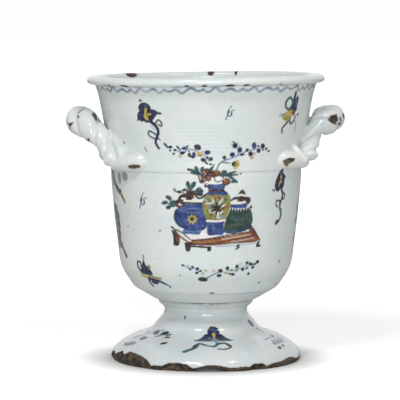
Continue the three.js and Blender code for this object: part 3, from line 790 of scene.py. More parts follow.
    for k, reach in enumerate((4.4, 4.6, 4, 4.8, 4.2, 4.6)):
        turn = TAU * k / 6 + 0.5
        tip = (1.1 + reach * math.cos(turn), 1.2 + reach * math.sin(turn))
        brush.line("black", 2.3, (1.1, 1), ((1.1 + tip[0]) / 2 + 0.3, (1.0 + tip[1]) / 2), tip, end=0.9)
    brush.dab("umber", 1.1, 1, 2.4, 2.2)
    brush.line("black", 1.4, (-10.2, 10.4), (-6.4, 13.4), (-2.6, 15.4))
    brush.field("cobalt", (-6.5, 21.3), (1, 20.6), (8.3, 21.3), (7.8, 18.2), (6.4, 16.2), (-4.2, 16.2),
                (-6, 18.6))
    brush.line("navy", 1.4, (-5.6, 20.4), (-4.8, 18.2), (-4.4, 16.8), strength=0.6)
    brush.line("navy", 1.2, (7.6, 20.4), (6.8, 18.2), (6, 16.8), strength=0.6)
    brush.line("sky", 1, (-3, 19.6), (1.4, 18.6), (5, 19.4), strength=0.35)
    brush.line("white", 1.7, (-5.8, 22.6), (0.8, 21.9), (8.2, 22.7), end=1.5)
    brush.line("black", 1.4, (-4.9, 15.7), (1.2, 15.9), (7.2, 15.6), end=1.2)
    brush.dab("rust", -3.8, 15.9, 1.8, 1.4)
    brush.dab("rust", 3, 16, 2, 1, strength=0.8)
    brush.field("cobalt", (-5.9, -9.3), (1, -9.9), (7.7, -9.3), (7, -13.2), (7.7, -15.4), (6.8, -20.2),
                (0.6, -20.7), (-5.3, -20.6), (-6.2, -14.6))
    brush.line("navy", 1.6, (-5.2, -19.4), (-3.4, -17.4), (-3, -13), strength=0.6)
    brush.line("sky", 0.9, (-1.6, -11.4), (-1.2, -15), (-1.8, -19), strength=0.45)
    brush.line("navy", 1, (6.8, -13.6), (3, -13.2), (-5.4, -13.4), strength=0.5)
    brush.line("white", 1.3, (-6.3, -8.9), (1, -9.5), (8.2, -8.7), end=1.2)


def blooms_of_left_jar(brush):
    """Brown blooms in the blue jar, with a spread of green leaves."""
    brush.dabs("teal", (-21.7, 20.8, 3, 5.6, 8), (-17.6, 20.6, 3.4, 6, -30), (-19.8, 17.6, 3.6, 3.2))
    brush.line("green", 0.8, (-21.8, 22.6), (-20.6, 18.6), (-19.6, 15.8))
    brush.line("green", 0.8, (-16.4, 22), (-18.6, 18.6))
    brush.line("teal", 2.8, (-15.4, 14.8), (-13, 17.4), (-10.4, 15.6), end=1.8)
    brush.dab("green", -32.3, 16.6, 2.2, 2.4, strength=0.7)
    brush.dab("black", -28.6, 14.8, 3.2, 2.2)
    brush.dab("green", -24.8, 16.4, 3.4, 2, 30)
    brush.line("black", 0.7, (-32, 15.4), (-29, 14.2), (-26, 14.4), (-23.6, 12.6))
    brush.dabs("teal", (-36.8, 9.8, 5, 3, -30), (-40, 5.6, 4.8, 3, 16), (-37, 1.9, 4, 3.2, 24),
               (-33.4, 5, 5.6, 5.6))
    brush.line("green", 0.8, (-38.6, 10.6), (-35, 7), (-31.4, 6))
    brush.line("green", 0.8, (-41, 5.4), (-36.6, 5), (-32, 5.4))
    brush.line("green", 0.8, (-38, 1.2), (-35, 3))
    brush.dab("umber", -19.4, 12.8, 8.4, 6.6)
    brush.line("umber", 1.8, (-22.6, 16), (-20, 13), (-16, 14.6))
    brush.line("umber", 1.6, (-22, 9.4), (-18, 10.4), (-14.6, 12.6))
    brush.dabs("black", (-20.6, 13.6, 3.6, 2.6), (-17.2, 14.6, 2.2, 2))
    brush.line("black", 0.9, (-22.4, 10.6), (-19.6, 9.4), (-16.4, 10.4))
    brush.dab("rust", -17.6, 11.4, 2.4, 2.2, strength=0.5)
    brush.dab("umber", -25.2, 10, 7.2, 4.4)
    brush.dab("white", -25, 9.3, 4.2, 1.5, -6)
    brush.line("umber", 1.5, (-29, 8.6), (-27, 11.8), (-23.6, 12), (-21.4, 10), end=1.3)
    brush.line("black", 0.8, (-28.2, 10), (-25.6, 10.8), (-22.8, 10.4))
    brush.line("umber", 1.2, (-29.4, 7.6), (-25, 7.4), (-21, 7.8))
    brush.dab("umber", -28.2, 5.4, 5.6, 5)
    brush.dabs("white", (-27.8, 4.8, 2.6, 2.2), (-15.6, 11, 2.6, 2.2), strength=0.9)
    brush.line("umber", 1.4, (-30.8, 7.2), (-30.6, 3.6), (-27.4, 2), (-24.8, 3.8), (-25.4, 7), end=1.2)
    brush.line("black", 0.9, (-29.6, 7.6), (-27.6, 5.4), (-25.6, 4.6))
    brush.dabs("umber", (-24.2, 3, 2.6, 2.4), (-21, 9.2, 4.4, 2.6))
    brush.dab("black", -12.2, 13.4, 4.2, 3, 24)
    brush.dab("cobalt", -12, 14, 1.6, 1)
    brush.line("black", 1.5, (-15.6, 11.6), (-12.8, 9.4), (-9.6, 10.8), end=1.2)
    brush.line("black", 1, (-14.4, 13.2), (-12, 11.6), (-9.8, 13))
    brush.line("black", 0.8, (-13.8, 15), (-11.2, 15.2), (-10.4, 12.4))


def low_table(brush):
    """The low table under the jars: a pale top, a rust-red front edge and turned-in legs."""
    brush.field("white", (-30, -16.9), (0, -19), (28.5, -16.9), (33, -19.9), (6, -23.6), (-19.6, -25.8),
                strength=0.9)
    brush.field("rust", (-20.6, -26.2), (-5.9, -24.6), (14.8, -21.6), (32.6, -19.9), (37.6, -25.6),
                (36, -27), (14.8, -27.5), (3, -28.5), (-18.8, -28.2))
    brush.field("umber", (-20.4, -26.4), (-8, -25.2), (-6, -27), (-18.6, -28.2), strength=0.5)
    brush.line("ochre", 1.5, (-17, -26.6), (0, -26), (14, -23.6), (28, -21.8), strength=0.6)
    brush.line("umber", 0.9, (-6, -27.6), (8, -26.6), (22, -24.4), (33, -22.6), strength=0.6)
    brush.line("white", 0.8, (6, -24.6), (18, -22.8), (30, -21.2), strength=0.5)
    brush.line("white", 0.9, (14, -26.6), (24, -25.6), (34, -24), strength=0.5)
    brush.line("ochre", 1.2, (8, -27.4), (22, -26.4), (35, -25.6), strength=0.5)
    brush.line("umber", 1, (-20, -25.4), (-4, -23.8), (12, -21), (26, -19.4), (32, -18.8))
    brush.line("umber", 0.8, (-19, -28.6), (2, -28.9), (14, -28), (35, -27.4), strength=0.9)
    brush.line("rust", 2.6, (28.6, -14.8), (32, -19), (36.4, -25.4), end=2.2)
    brush.line("umber", 1.4, (29.6, -13.8), (33.4, -18.6), (38.2, -26.6))
    brush.line("umber", 0.8, (28, -16.4), (31.6, -20.4), (34.6, -25.6), strength=0.7)
    brush.line("white", 1.4, (-31.6, -15.4), (-26, -20), (-19.6, -25.6), end=1.4)
    brush.line("umber", 1, (-30.4, -16.6), (-25.6, -19.4), (-19.4, -24.8))
    brush.line("rust", 1.6, (-32.4, -18), (-27, -22.6), (-20.8, -27))
    brush.line("black", 1.1, (-34.6, -14.4), (-32.4, -15.6), (-30.6, -18.6))
    brush.field("umber", (-33.8, -17.2), (-30.6, -19.4), (-28.2, -23), (-28.8, -29.4), (-32.4, -29.4),
                (-31.9, -22.6))
    brush.line("black", 1.4, (-33.6, -17.4), (-32.4, -22), (-32.2, -29))
    brush.line("rust", 1, (-30.2, -22), (-30, -26.8), strength=0.7)
    brush.field("umber", (-23.8, -27.2), (-19, -27.8), (-19.2, -31.4), (-20.3, -34.2), (-22.6, -34.2),
                (-23.4, -30.5))
    brush.line("black", 1.2, (-23.4, -27.8), (-22.8, -31), (-22, -33.8))
    brush.line("umber", 1.3, (-19.2, -29.9), (-11, -30.6), (-4, -31), end=1.2)
    brush.field("umber", (-6, -30.4), (-3.2, -30.6), (-3.2, -33.8), (-5.4, -34.2))
    brush.line("black", 0.9, (-3.4, -30.8), (-3.4, -33.6))
    brush.line("lilac", 0.6, (1, -30.2), (9, -30.4), (18, -29.8), (36, -28.6), strength=0.6)
    brush.line("black", 1.3, (20, -29.8), (18.6, -31), (20.6, -31.4), (17.6, -33.2))
    brush.line("black", 1.5, (37.4, -28.2), (35.8, -30.6), (38.6, -31.2), (35.6, -31.8))


def iris(brush):
    """A dark blue iris with a yellow heart, on a bent stem with two folded leaves."""
    brush.line("navy", 2.6, (4.2, -5), (8.8, -8.6), (10.8, -13), (9.2, -17.4), (7.6, -21.4), (9.8, -26),
               end=1.5)
    brush.line("teal", 1.2, (9, -7.4), (11.8, -4.4), (14.4, -7.4), (13.4, -9.2), (11.6, -8), end=1)
    brush.line("teal", 1.2, (8.6, -15.4), (2.8, -13), (2.4, -16.2), (7.4, -18.8), end=1)
    brush.line("sky", 0.8, (8, -12), (5.6, -9.4), (4.2, -8.4), strength=0.5)
    brush.dabs("navy", (0.9, 4.2, 11, 8.6), (-2, -1.6, 9.4, 8, 20), (2, -3.6, 7, 5.6))
    brush.field("navy", (4.4, 2.6), (8, 3.4), (11.8, 1.2), (9, -2.4), (6.4, -5), (3.6, -2.6))
    brush.line("cobalt", 1, (-2, 5.6), (0.8, 6.8), (4, 5), strength=0.45)
    brush.line("lilac", 0.8, (1.4, 6.4), (2.6, 3.6), strength=0.35)
    brush.line("cobalt", 1, (-4, -1), (-3.4, -3.6), strength=0.5)
    brush.line("cobalt", 1.2, (7, 1.6), (9.4, 0.6), (7.4, -2.2), strength=0.45)
    brush.line("yellow", 1.8, (2, 3.6), (1.2, 0.4), (0.8, -2.4), (2.6, -3.8), end=1.6)
    brush.line("yellow", 1.4, (5.6, -0.2), (3.6, -0.8), (2.8, -2.6))
    brush.dabs("black", (4.3, -2.2, 2.2, 2.2), (-2.1, 10.1, 2.2, 1.8))
    brush.line("black", 1.4, (11.8, 0.6), (14.2, 0.5), end=1.2)
    brush.line("black", 1.2, (-4.8, -3.6), (-7, -5))
    brush.line("black", 0.8, (10, -18.4), (11.6, -19.6))


def butterfly(brush):
    """A small fancy insect: a blue wing, a green loop, and a yellow body with brown legs."""
    brush.field("navy", (0.4, 2), (1, 8), (2.2, 14.6), (3.6, 12.4), (3.4, 8.2), (5.6, 10.6), (7.2, 8.6),
                (6.8, 4), (6.8, 0.8), (3.6, 0.4))
    brush.line("sky", 0.9, (4.6, 7.6), (5.6, 5.4), (4.8, 3.4), strength=0.6)
    brush.line("cobalt", 0.9, (2, 6.6), (2.8, 3.2), strength=0.6)
    brush.line("teal", 1.5, (-1.4, 1.4), (-5.2, 3.2), (-6.2, 6.4), (-3.6, 9.6), (-0.4, 8.6), (0.8, 5),
               (-2.2, 1.6), end=1.5)
    brush.line("umber", 1.4, (1, 1.6), (-3.6, -0.6), (-7.4, -1.8), end=1)
    brush.dab("lilac", -9.2, -1.8, 2.6, 2.4, strength=0.55)
    brush.field("yellow", (-0.6, 1), (2.6, 0.8), (1.8, -2.6), (-0.6, -5.8), (-5.8, -5), (-7.6, -3),
                (-4, -0.6))
    brush.dab("olive", -3.6, -3.8, 5, 2.4, strength=0.7)
    brush.dab("ochre", 3.6, -0.8, 4.4, 3, strength=0.9)
    brush.dab("umber", 3.4, -0.1, 2.4, 1.4)
    brush.dab("lilac", 4.6, -2.4, 2.4, 1.6, strength=0.4)
    brush.dab("black", 9.4, -1.9, 2, 1.4, 25)
    brush.line("teal", 1.3, (0.4, -3.4), (0.6, -6.4), (2.8, -7.8), (5.4, -5.8), (6.8, -3.2), end=1.2)
    brush.line("sky", 0.9, (6.2, -5.4), (8.4, -8.2), (8.8, -12.6), strength=0.7)
    brush.line("umber", 1.2, (-1.4, -6.4), (-4.6, -9.2), (-6.2, -11.2), (-5.4, -13.4), end=1.1)


def tulip(brush):
    """A drooping dark blue tulip on a long stem with brown half-loops."""
    brush.field("navy", (0.6, 15), (-3.4, 9), (-6.4, 3.6), (-7.2, -0.6), (-5.2, -4.4), (-2.4, -4.8),
                (0.2, -3), (3, -2.6), (4.6, 1), (4.8, 5.6), (3, 9.2), (2.6, 13))
    brush.line("cobalt", 1.4, (0.4, 11.6), (1.2, 8.8), strength=0.5)
    brush.line("sky", 0.9, (-1.2, 10.8), (0.6, 12), (1.8, 10.4), strength=0.5)
    brush.line("cobalt", 1.2, (-5.2, 2), (-4.8, -2.4), strength=0.5)
    brush.line("yellow", 1.6, (0.2, 7.4), (0, 4), (-1.6, 1), (-1.8, -0.8), end=1.2)
    brush.line("rust", 1, (0.2, 5), (1.8, 2.8), (1, 1))
    brush.dab("lilac", 1.6, 2.8, 1.2, 1.4)
    brush.dab("black", -0.4, -0.4, 2.4, 2.6)
    brush.line("navy", 1.6, (3.6, 8.4), (6.2, 6), end=1.2)
    brush.line("black", 1.2, (-9, -3.4), (-6.9, -4.4))
    brush.line("navy", 2.2, (1.6, -3.4), (3.6, -7.4), (2.8, -11.6), (1, -15), end=1.7)
    brush.line("teal", 2.2, (1, -15), (1.2, -19), (3.2, -23.4), (2.4, -27.8), (0.4, -30.4), end=1.6)
    brush.dab("navy", -1.2, -30.6, 5.2, 3, 38)
    brush.line("umber", 1.2, (3.6, -6.4), (6.4, -7.8), (6.4, -10.6), (3.6, -12), end=1.1)
    brush.line("umber", 1.3, (1.4, -13.4), (-3.4, -12.6), (-4, -16.4), (-2, -18), end=1.1)
    brush.line("teal", 1, (2.2, -21.4), (4.2, -20))


def leaf_sprig(brush):
    """A dark blue bud between a loop and a leaf, over a yellow band and trailing roots."""
    brush.field("navy", (0, 9), (1.6, 4.6), (4.4, 2.6), (6.4, -2.2), (1, -2.8), (-5, -1.2), (-3, 3))
    brush.line("sky", 1.2, (0.4, 11.4), (0.2, 8.2))
    brush.line("navy", 1.6, (-4.6, -0.6), (-7, 3), (-6.4, 6.8), (-3.4, 6.2), (-3.6, 3.4))
    brush.dab("olive", 4.6, 3.4, 2.6, 3)
    brush.line("yellow", 2.4, (-4.8, -3.4), (0, -4.8), (4.4, -4.2), (11.8, -5.6), end=1.6)
    brush.line("olive", 1.4, (3, -3.8), (8.6, -4.6), (12.6, -4.8))
    brush.line("navy", 2, (1.6, -5.6), (0.4, -9), (1.6, -13.2), end=1.2)
    brush.dab("navy", 5.8, -8.8, 6.6, 3.6, 8)
    brush.line("navy", 2.2, (2.6, -6.4), (9.6, -7.4), (13.6, -9.6), end=1.8)
    brush.line("cobalt", 1.2, (13.6, -9.6), (16.6, -11.6), (16.2, -13.4))


def small_insect(brush):
    """A faint blue fly, in a few curls."""
    brush.line("cobalt", 1, (-2.8, -6.4), (-1.6, -2.8), (-0.8, 1.8), (1, 4.8), (2.4, 6.4), strength=0.85)
    brush.line("cobalt", 1, (-1.2, -2.4), (1, -3.6), (2.8, -1.6), (2.2, 1.2), (5, 2.4), strength=0.85)
    brush.dab("navy", -0.6, 0.4, 2, 4, -16, strength=0.85)
    brush.dab("navy", 2.6, -1.2, 1.4, 2.4, -10, strength=0.7)


def garland(brush):
    """A garland low on the belly, hung from a dark leaf: berries and flowers on a thin stem."""
    brush.line("teal", 0.8, (-14.6, -5.4), (-8.6, -1.6), (-2.2, 0.8))
    brush.line("sky", 0.7, (2, 1), (10, 1.6), (18, 4.6), (27, 5.6), strength=0.8)
    brush.dab("green", -17.6, -6.8, 7.4, 4, -10)
    brush.dab("black", -18, -7, 4.6, 2, -10, strength=0.6)
    for x, y, lean in ((-33.6, 5.6, -30), (-28.2, 2.6, -35), (-20.2, 1, 20), (3.8, -1.8, 0), (18.6, 2.6, 25)):
        brush.dab("black", x, y, 2.4, 1.4, lean)
    brush.dab("lilac", -30.2, 4.6, 2.6, 2.2, strength=0.7)
    brush.dab("green", -26.4, 4.2, 2.6, 1.8, -40)
    brush.dab("indigo", -22.6, 2.8, 2.8, 2.6)
    brush.dabs("navy", (-22.8, -0.6, 2.4, 2), (15, 1.6, 2.8, 2.4))
    brush.dabs("ochre", (-16, 1.2, 2.8, 2, -20), (-18, -1, 2.6, 2.2, 20), strength=0.6)
    brush.dab("ochre", -9.6, 1, 2.8, 2.2, strength=0.5)
    brush.dab("umber", -4.2, 1, 3.6, 3)
    brush.dabs("black", (-3.4, 0.6, 1.8, 2), (18.6, 7, 2.8, 2.4, 10))
    brush.dabs("indigo", (-4.8, -3.2, 3.6, 3), (1.6, 3.2, 2.8, 3))
    brush.dab("olive", 0.4, -0.8, 3, 1.8, strength=0.8)
    brush.dab("olive", 5.2, 1.4, 2.6, 2.2, strength=0.7)
    brush.dab("indigo", 6.6, -2.4, 3.2, 2.4)
    brush.dab("olive", 9.4, 0.8, 2.8, 1.6, 15, strength=0.8)
    brush.dab("teal", 9.8, 4.2, 3, 3.2)
    brush.dab("ochre", 12.8, 6.4, 3, 2.4, strength=0.4)
    brush.dab("green", 22, 5.8, 3.2, 2.6, -15)
    brush.dabs("black", (22.4, 5.4, 2.2, 1.6, -15), (25.6, 5.6, 2.4, 1.6, 20), (20.4, -2.6, 2.2, 2, 25))
    brush.dabs("navy", (24, 3, 2.6, 2.2, 30), (28.2, 7.2, 2.6, 2.8))


def spray_below_handle(brush):
    """A tall spray under each handle: leaves, a chain of buds and a bulb."""
    brush.dab("navy", 11.6, 28.6, 5.6, 7.6, 20)
    brush.dab("teal", 15.4, 25.6, 4, 6, -10)
    brush.dab("navy", 13.6, 21.8, 5, 5, 30)
    brush.line("sky", 1.6, (15, 27), (20, 21), (27, 14.6))
    for x, y in ((17, 19), (21.4, 17), (24.6, 14.8)):
        brush.dab("teal", x, y, 5, 3.6, 35)
        brush.dab("navy", x + 0.6, y - 1.2, 3.4, 2, 35)
    brush.dab("indigo", 28.8, 12.6, 5.4, 4.4, 20)
    brush.line("yellow", 3.6, (30.4, 10.6), (33, 8), (35.4, 4.6), end=2.4)
    brush.line("black", 1.5, (30, 11.4), (32.6, 7.6), (35.6, 4))
    brush.line("green", 3.4, (0, 6), (6, 2), (12, -4), end=2.4)
    for x, y, lean in ((6, -1.6, 50), (14.6, -2.4, 40), (9.6, -8.4, 24), (18.4, -8.6, 12), (9, -15.6, 10),
                       (18.6, -16, -8), (8.4, -22, -10), (17, -23.4, -24)):
        brush.dab("green", x, y, 6.6, 8.6, lean)
        brush.line("black", 1.3, (x - 0.6, y + 3.4), (x + 0.8, y - 3.4), strength=0.8)
    brush.line("black", 2.4, (12.6, -4), (14, -14), (13, -27))
    for x, y in ((8.6, -29.4), (15.4, -28.6), (11.4, -34), (18.4, -33.4)):
        brush.dab("umber", x, y, 6.4, 5.6, 20)
        brush.dab("rust", x - 0.6, y - 0.8, 3, 2.6)
    brush.line("black", 2.2, (16.6, -29), (21, -35.4), (26.6, -42), end=3.2)
    for x, y in ((-3.6, 12.4), (0.4, 12.8), (-1.8, 9.4)):
        brush.dab("navy", x, y, 4.8, 6)
    brush.dab("yellow", -1.8, 11.4, 2.4, 3.6)
    brush.line("teal", 1.8, (-2, 7), (1, -4), (-4, -14), (-6, -26), (-14, -30))
    for x, y, lean in ((-17, 4, 20), (-21.6, -1.6, -30), (-18, -8, 30), (-22.6, -12.6, -20)):
        brush.dab("teal", x, y, 5.4, 8, lean, strength=0.9)
        brush.line("green", 1.2, (x, y + 3), (x + 0.4, y - 3.4))
    brush.line("teal", 1.8, (-18, 9), (-20, -4), (-19, -20))
    brush.dab("rust", -20.6, -28, 5, 6, strength=0.8)
    brush.line("umber", 2, (-19, -22), (-22.8, -27), (-20.6, -33), (-17.8, -28), (-19, -23))
    brush.line("umber", 1.6, (-20.4, -33), (-22, -38), (-20.4, -43))


def faces(brush):
    """All that is painted on the bowl and the wall: the same front and back, with sprays between."""
    for front in (0, 180):
        brush.stand(front + 0.7, 132.7, 62)
        berry_sprays(brush)
        low_table(brush)
        blooms_of_left_jar(brush)
        jars(brush)
        leaves_and_blooms(brush)
        brush.stand(front - 39.5, 211, 30, 1.1)
        iris(brush)
        brush.line("umber", 0.9, (-2.6, -25.6), (-0.6, -28.8), strength=0.7)
        brush.stand(front + 7.5, 211.7, 12, 0.85)
        small_insect(brush)
        brush.stand(front + 46.9, 210.5, 20, 1.25)
        butterfly(brush)
        brush.stand(front + 45.5, 150.5, 34)
        tulip(brush)
        brush.stand(front - 46.3, 139.2, 10)
        small_insect(brush)
        brush.stand(front - 49.2, 79.8, 20, 1.16)
        leaf_sprig(brush)
        brush.stand(front + 8.0, 81.2, 40)
        garland(brush)
        for turn, height, size in ((-62, 116, 2.0), (-34, 115, 2.0), (-22, 78, 1.3), (37, 70, 2.6),
                                   (52, 86.6, 2.4)):
            brush.stand(front + turn, height, 3)
            brush.dab("umber", 0, 0, size, 0.7 * size, 25, strength=0.7)
        brush.stand(front - 63, 156.0, 14)
        brush.dab("green", -7.4, 0.0, 6.4, 9.0, 10, strength=0.6)
        brush.dab("green", 2.4, 2.0, 8.4, 7.4, -20, strength=0.6)
        brush.stand(front, 62.6, 6)
        brush.dab("umber", 0, 0, 3.0, 1.4)
        brush.stand(front + 90, 132, 46)
        spray_below_handle(brush)


def bowl_wear(turn, radius, height, points):
    """Marks dirt and painted shade in the crevice at the collar, darkest in front, painted shade along the
    trimmed crease, and the painting.
    """
    outside = on_outside(bowl_outline, radius, height)
    # Dirt and painted shade in the crevice at the collar, darker towards the front, and painted shade along
    # the crease.
    crevice_dirt_and_shade = np.clip(1 - (height - 51.6) / 0.9, 0, 1) * (radius < 46) * (0.7 + 0.3 * np.cos(turn))
    shaded_crease = np.exp(-((height - 61.4) / 0.5) ** 2) * 0.28 * (0.6 + 0.4 * np.sin(3 * turn + 1))
    grime_and_shade = np.where(outside, crevice_dirt_and_shade * 0.9 + shaded_crease, 0)
    brush = Brushwork(turn, radius, height, bowl_outline)
    faces(brush)
    bare = np.full(len(turn), far_outside)
    return points, {"bare": bare, "grime_and_shade": grime_and_shade, "paint": brush.paint}


def inner_side(outline):
    """The inside of a wall that follows an outline, walked downwards."""
    return [(radius - wall_thickness, height) for radius, height in reversed(outline)]


bowl_profile = np.vstack([
    [(0, 51.7)],
    smooth([(6.0, 51.7), (41.6, 51.7)], 6.0)[:-1],
    smooth(bowl_under, 0.9),
    smooth(bowl_side, 0.65)[1:],
    smooth(inner_side(above_floor) + bowl_floor, 3.0),
    [(0, 60.0)],
])
bowl_section = thrown("bowl_section", bowl_profile, segments_round, body_glaze, bowl_wear)
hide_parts("bowl_section")


# Wall: the upper thrown section, a wall that stands slightly proud of the bowl's rim at the seam,
# widens gently, and ends in a heavy lip rolled outwards. The lip is rubbed and nicked.

wall_side = [
    (80.4, 162.5), (81.1, 163.3), (81.5, 165.5), (81.8, 173.0), (83.5, 186.0), (86.0, 200.0),
    (88.6, 214.5), (91.1, 226.0), (93.3, 232.6),
]
lip_outline = [
    (93.3, 232.6), (95.2, 233.2), (97.8, 233.5), (99.4, 234.5), (100.0, 236.4), (99.3, 238.4),
    (97.2, 239.6), (93.5, 240.0), (90.0, 239.7), (87.8, 238.6), (86.9, 236.4), (86.6, 232.6),
]
outer_wall = bowl_side + wall_side[1:]
lip_radius = 99
wall_mm_per_degree = 1.45

# Nicks in the lip: degrees from the front towards the right, half their length in mm, and whether
# they are under its edge or on top of it.
lip_nicks = [
    (-62.4, 1.6, "under"), (-58.2, 2.0, "under"), (-47.3, 4.4, "under"), (-13.7, 2.2, "under"),
    (-5.4, 2.4, "under"), (6.8, 4.8, "under"), (14.7, 3.0, "under"), (33.0, 1.2, "under"),
    (-137.6, 7.5, "top"), (172.5, 3.2, "top"), (158.0, 1.4, "top"), (76.0, 2.2, "under"),
    (118.0, 3.0, "under"), (-98.0, 2.4, "under"),
]


def lip_border(brush):
    """Grey-blue scallops brushed under the lip, uneven in height and in strength, with clouds of
    the same blue above them."""
    for k in range(18):
        brush.stand(20 * k + 4, 230.0, 22)
        low = 0.8 * math.sin(2.3 * k)
        high = 0.7 * math.sin(1.7 * k + 1)
        wave = [(-16.4, 0.9), (-11.6, -1.6 + low), (-6.4, 1.6 + high), (-1.0, -1.5 - low), (2.6, 0.2),
                (7.0, 1.4 - high), (11.4, -1.3 + low), (16.4, 0.9)]
        brush.line("smoke", 1.7, *wave, end=1.7, strength=0.7 + 0.2 * math.sin(3.1 * k))
        brush.line("cobalt", 0.8, (-12.4, -1.2 + low), (-9.6, 0.0), (-7.0, 1.6 + high), strength=0.45)
        brush.line("cobalt", 0.8, (4.0, 1.0), (7.2, 1.8 - high), (9.6, 0.0), strength=0.35)
        brush.dab("smoke", -6.0 + 3 * low, 3.0, 9.4, 1.8, 4, strength=0.45)
        brush.dab("smoke", 7.0, 1.4 - high, 4.6, 2.6, -10, strength=0.5)
    for turn in (66, 71, 246, 251):
        brush.stand(turn, 230.6, 6)
        brush.dab("cobalt", 0, 0, 3.0, 3.4, strength=0.6)


def wall_wear(turn, radius, height, points):
    """Carves the nicks of the lip; marks them, the painted shade on the wall behind the ropes and the
    painting.
    """
    degrees = np.degrees(turn)
    bare = np.full(len(turn), far_outside)
    carved = points.copy()
    for place, reach, where in lip_nicks:
        across = np.radians((degrees - place + 180) % 360 - 180) * lip_radius
        under = where == "under"
        if under:
            off = np.hypot(0.9 * (height - 233.2), 0.6 * (radius - 97.0))
        else:
            off = 0.7 * np.hypot(0.8 * (radius - 89.0), height - 238.6)
        deep = 1.9 - np.hypot(off, across / reach * 1.9)
        bare = np.maximum(bare, np.where(radius > 86, deep, far_outside))
        bite = np.clip(deep, 0, 1.2)
        carved[:, 2] += bite * MM * (0.5 if under else -0.8)
        carved[:, :2] *= (1 - 0.5 * bite / np.maximum(radius, 1) * under)[:, None]
    # Painted shade: a dark line on the wall in the gap behind each rope, and a dark spot where the gap under
    # the rope opens.
    from_handle = abs(degrees % 180 - 90)
    behind = 3 + (205 - height)
    off = (from_handle - behind) * wall_mm_per_degree
    shade_behind_ropes = np.exp(-(off / 2.0) ** 2) * np.clip((height - 187) / 3, 0, 1)
    off = (from_handle - 20) * wall_mm_per_degree
    shaded_hole = np.exp(-(off / 1.4) ** 2 - ((height - 181.4) / 1.4) ** 2)
    shade_behind_ropes = np.maximum(shade_behind_ropes * np.clip((208 - height) / 3, 0, 1), shaded_hole) * (radius > 80)
    brush = Brushwork(turn, radius, height, wall_side)
    lip_border(brush)
    faces(brush)
    brush.stand(-58.3, 186.1, 6)
    brush.dab("black", 0, 0, 3.4, 2.0, -25, strength=0.6)
    return carved, {"bare": bare, "grime_and_shade": 0.95 * shade_behind_ropes, "paint": brush.paint}


wall_profile = np.vstack([
    smooth(wall_side, 0.65),
    smooth(lip_outline, 0.8)[1:-1],
    smooth(inner_side(wall_side), 2.4),
])
wall_section = thrown("wall_section", wall_profile, segments_round, body_glaze, wall_wear)
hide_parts("wall_section")


# Handles: for each, two rolls of clay laid side by side and twisted into a rope, bent up into a
# loop and pressed onto the wall with slip. One roll's ends are laid outwards along the wall as
# tongues, cut off bare below; the other's are wrapped over the foot of the rope and up the wall.

# The rope's sizes in mm, its twist in turns, and the slip under its feet.
roll_radius = 7.2
roll_offset = 4.7
roll_spread = 1.36
handle_spread = 41.0
bedding = 0.3
half_twist = 1.5
twist_slack = 0.82
stub_turns = -0.25
arch = 1.9
slip_depth = 2.6
slip_across = (20, 74)
slip_height = (154, 198)
skin_grain = 0.6
groove_shade_onset = 0.12
chip_reach = 7


def beside_wall(across, height, stand_off):
    """A point by the wall on the right: how far towards the back, how high, how far off it."""
    radius = radius_at(outer_wall, height) + stand_off
    return [math.sqrt(radius ** 2 - across ** 2), across, height]


def thickness(share, girths):
    """How thick the rope is at a share of the way from its crown to a foot."""
    return np.interp(abs(share), [0, 0.2, 0.4, 0.6, 0.8, 1], girths)


def loop_point(share, foot_height, rise, finger_gap, gap_share, girths):
    """The loop's middle line: it climbs along the wall from each foot, then stands away from it
    towards a crown in the middle."""
    clear = finger_gap * (0.5 + 0.5 * math.cos(math.pi * min(abs(share) / gap_share, 1)))
    stand_off = (roll_radius + roll_offset) * thickness(share, girths) - bedding + clear
    return beside_wall(share * handle_spread, foot_height + rise * (1 - abs(share) ** arch), stand_off)


def tube(centres, first, second, first_radii, second_radii, sides=28):
    """A closed skin round a line of centres, as wide as the radii along two square directions."""
    angle = np.arange(sides) * TAU / sides
    rings = (
        centres[:, None]
        + first[:, None] * (first_radii[:, None] * np.cos(angle))[..., None]
        + second[:, None] * (second_radii[:, None] * np.sin(angle))[..., None]
    )
    index = np.arange(len(centres) * sides).reshape(-1, sides)
    low, high = index[:-1], index[1:]
    walls = np.stack([low, np.roll(low, -1, 1), np.roll(high, -1, 1), high], axis=-1).reshape(-1, 4)
    return rings.reshape(-1, 3), walls.tolist() + [index[0][::-1].tolist(), index[-1].tolist()]


def unit(vectors):
    """Vectors brought to length 1."""
    return vectors / np.linalg.norm(vectors, axis=-1, keepdims=True)


def twisted_roll(start_turns, foot_height, rise, finger_gap, gap_share, girths):
    """One roll of the rope. The twist is slack at the crown and tightens towards both feet,
    where the roll thins out."""
    shares = [-1, -0.98, -0.92, -0.8, -0.6, -0.4, -0.2, 0, 0.2, 0.4, 0.6, 0.8, 0.92, 0.98, 1]
    loop = [loop_point(share, foot_height, rise, finger_gap, gap_share, girths) for share in shares]
    middle = smooth(loop, 1.2)
    ahead = unit(np.gradient(middle, axis=0))
    up = unit(np.array([0, 0, 1]) - ahead * ahead[:, 2:])
    from_crown = np.linspace(-1, 1, len(middle))
    turns = half_twist * (twist_slack * from_crown + (1 - twist_slack) * from_crown * abs(from_crown))
    angle = TAU * (start_turns + turns)[:, None]
    outwards = up * np.cos(angle) + np.cross(ahead, up) * np.sin(angle)
    past_thinning = np.clip(abs(from_crown) - 0.91, 0, 1) / 0.095
    thick = thickness(from_crown, girths) * np.sqrt(np.clip(1 - past_thinning ** 2, 0.04, 1))
    swell = roll_radius * thick * (1 + 0.06 * np.sin(9 * from_crown + 6 * start_turns))
    centres = middle + outwards * roll_offset * thick[:, None]
    return tube(centres, outwards, np.cross(ahead, outwards), swell, swell * roll_spread)


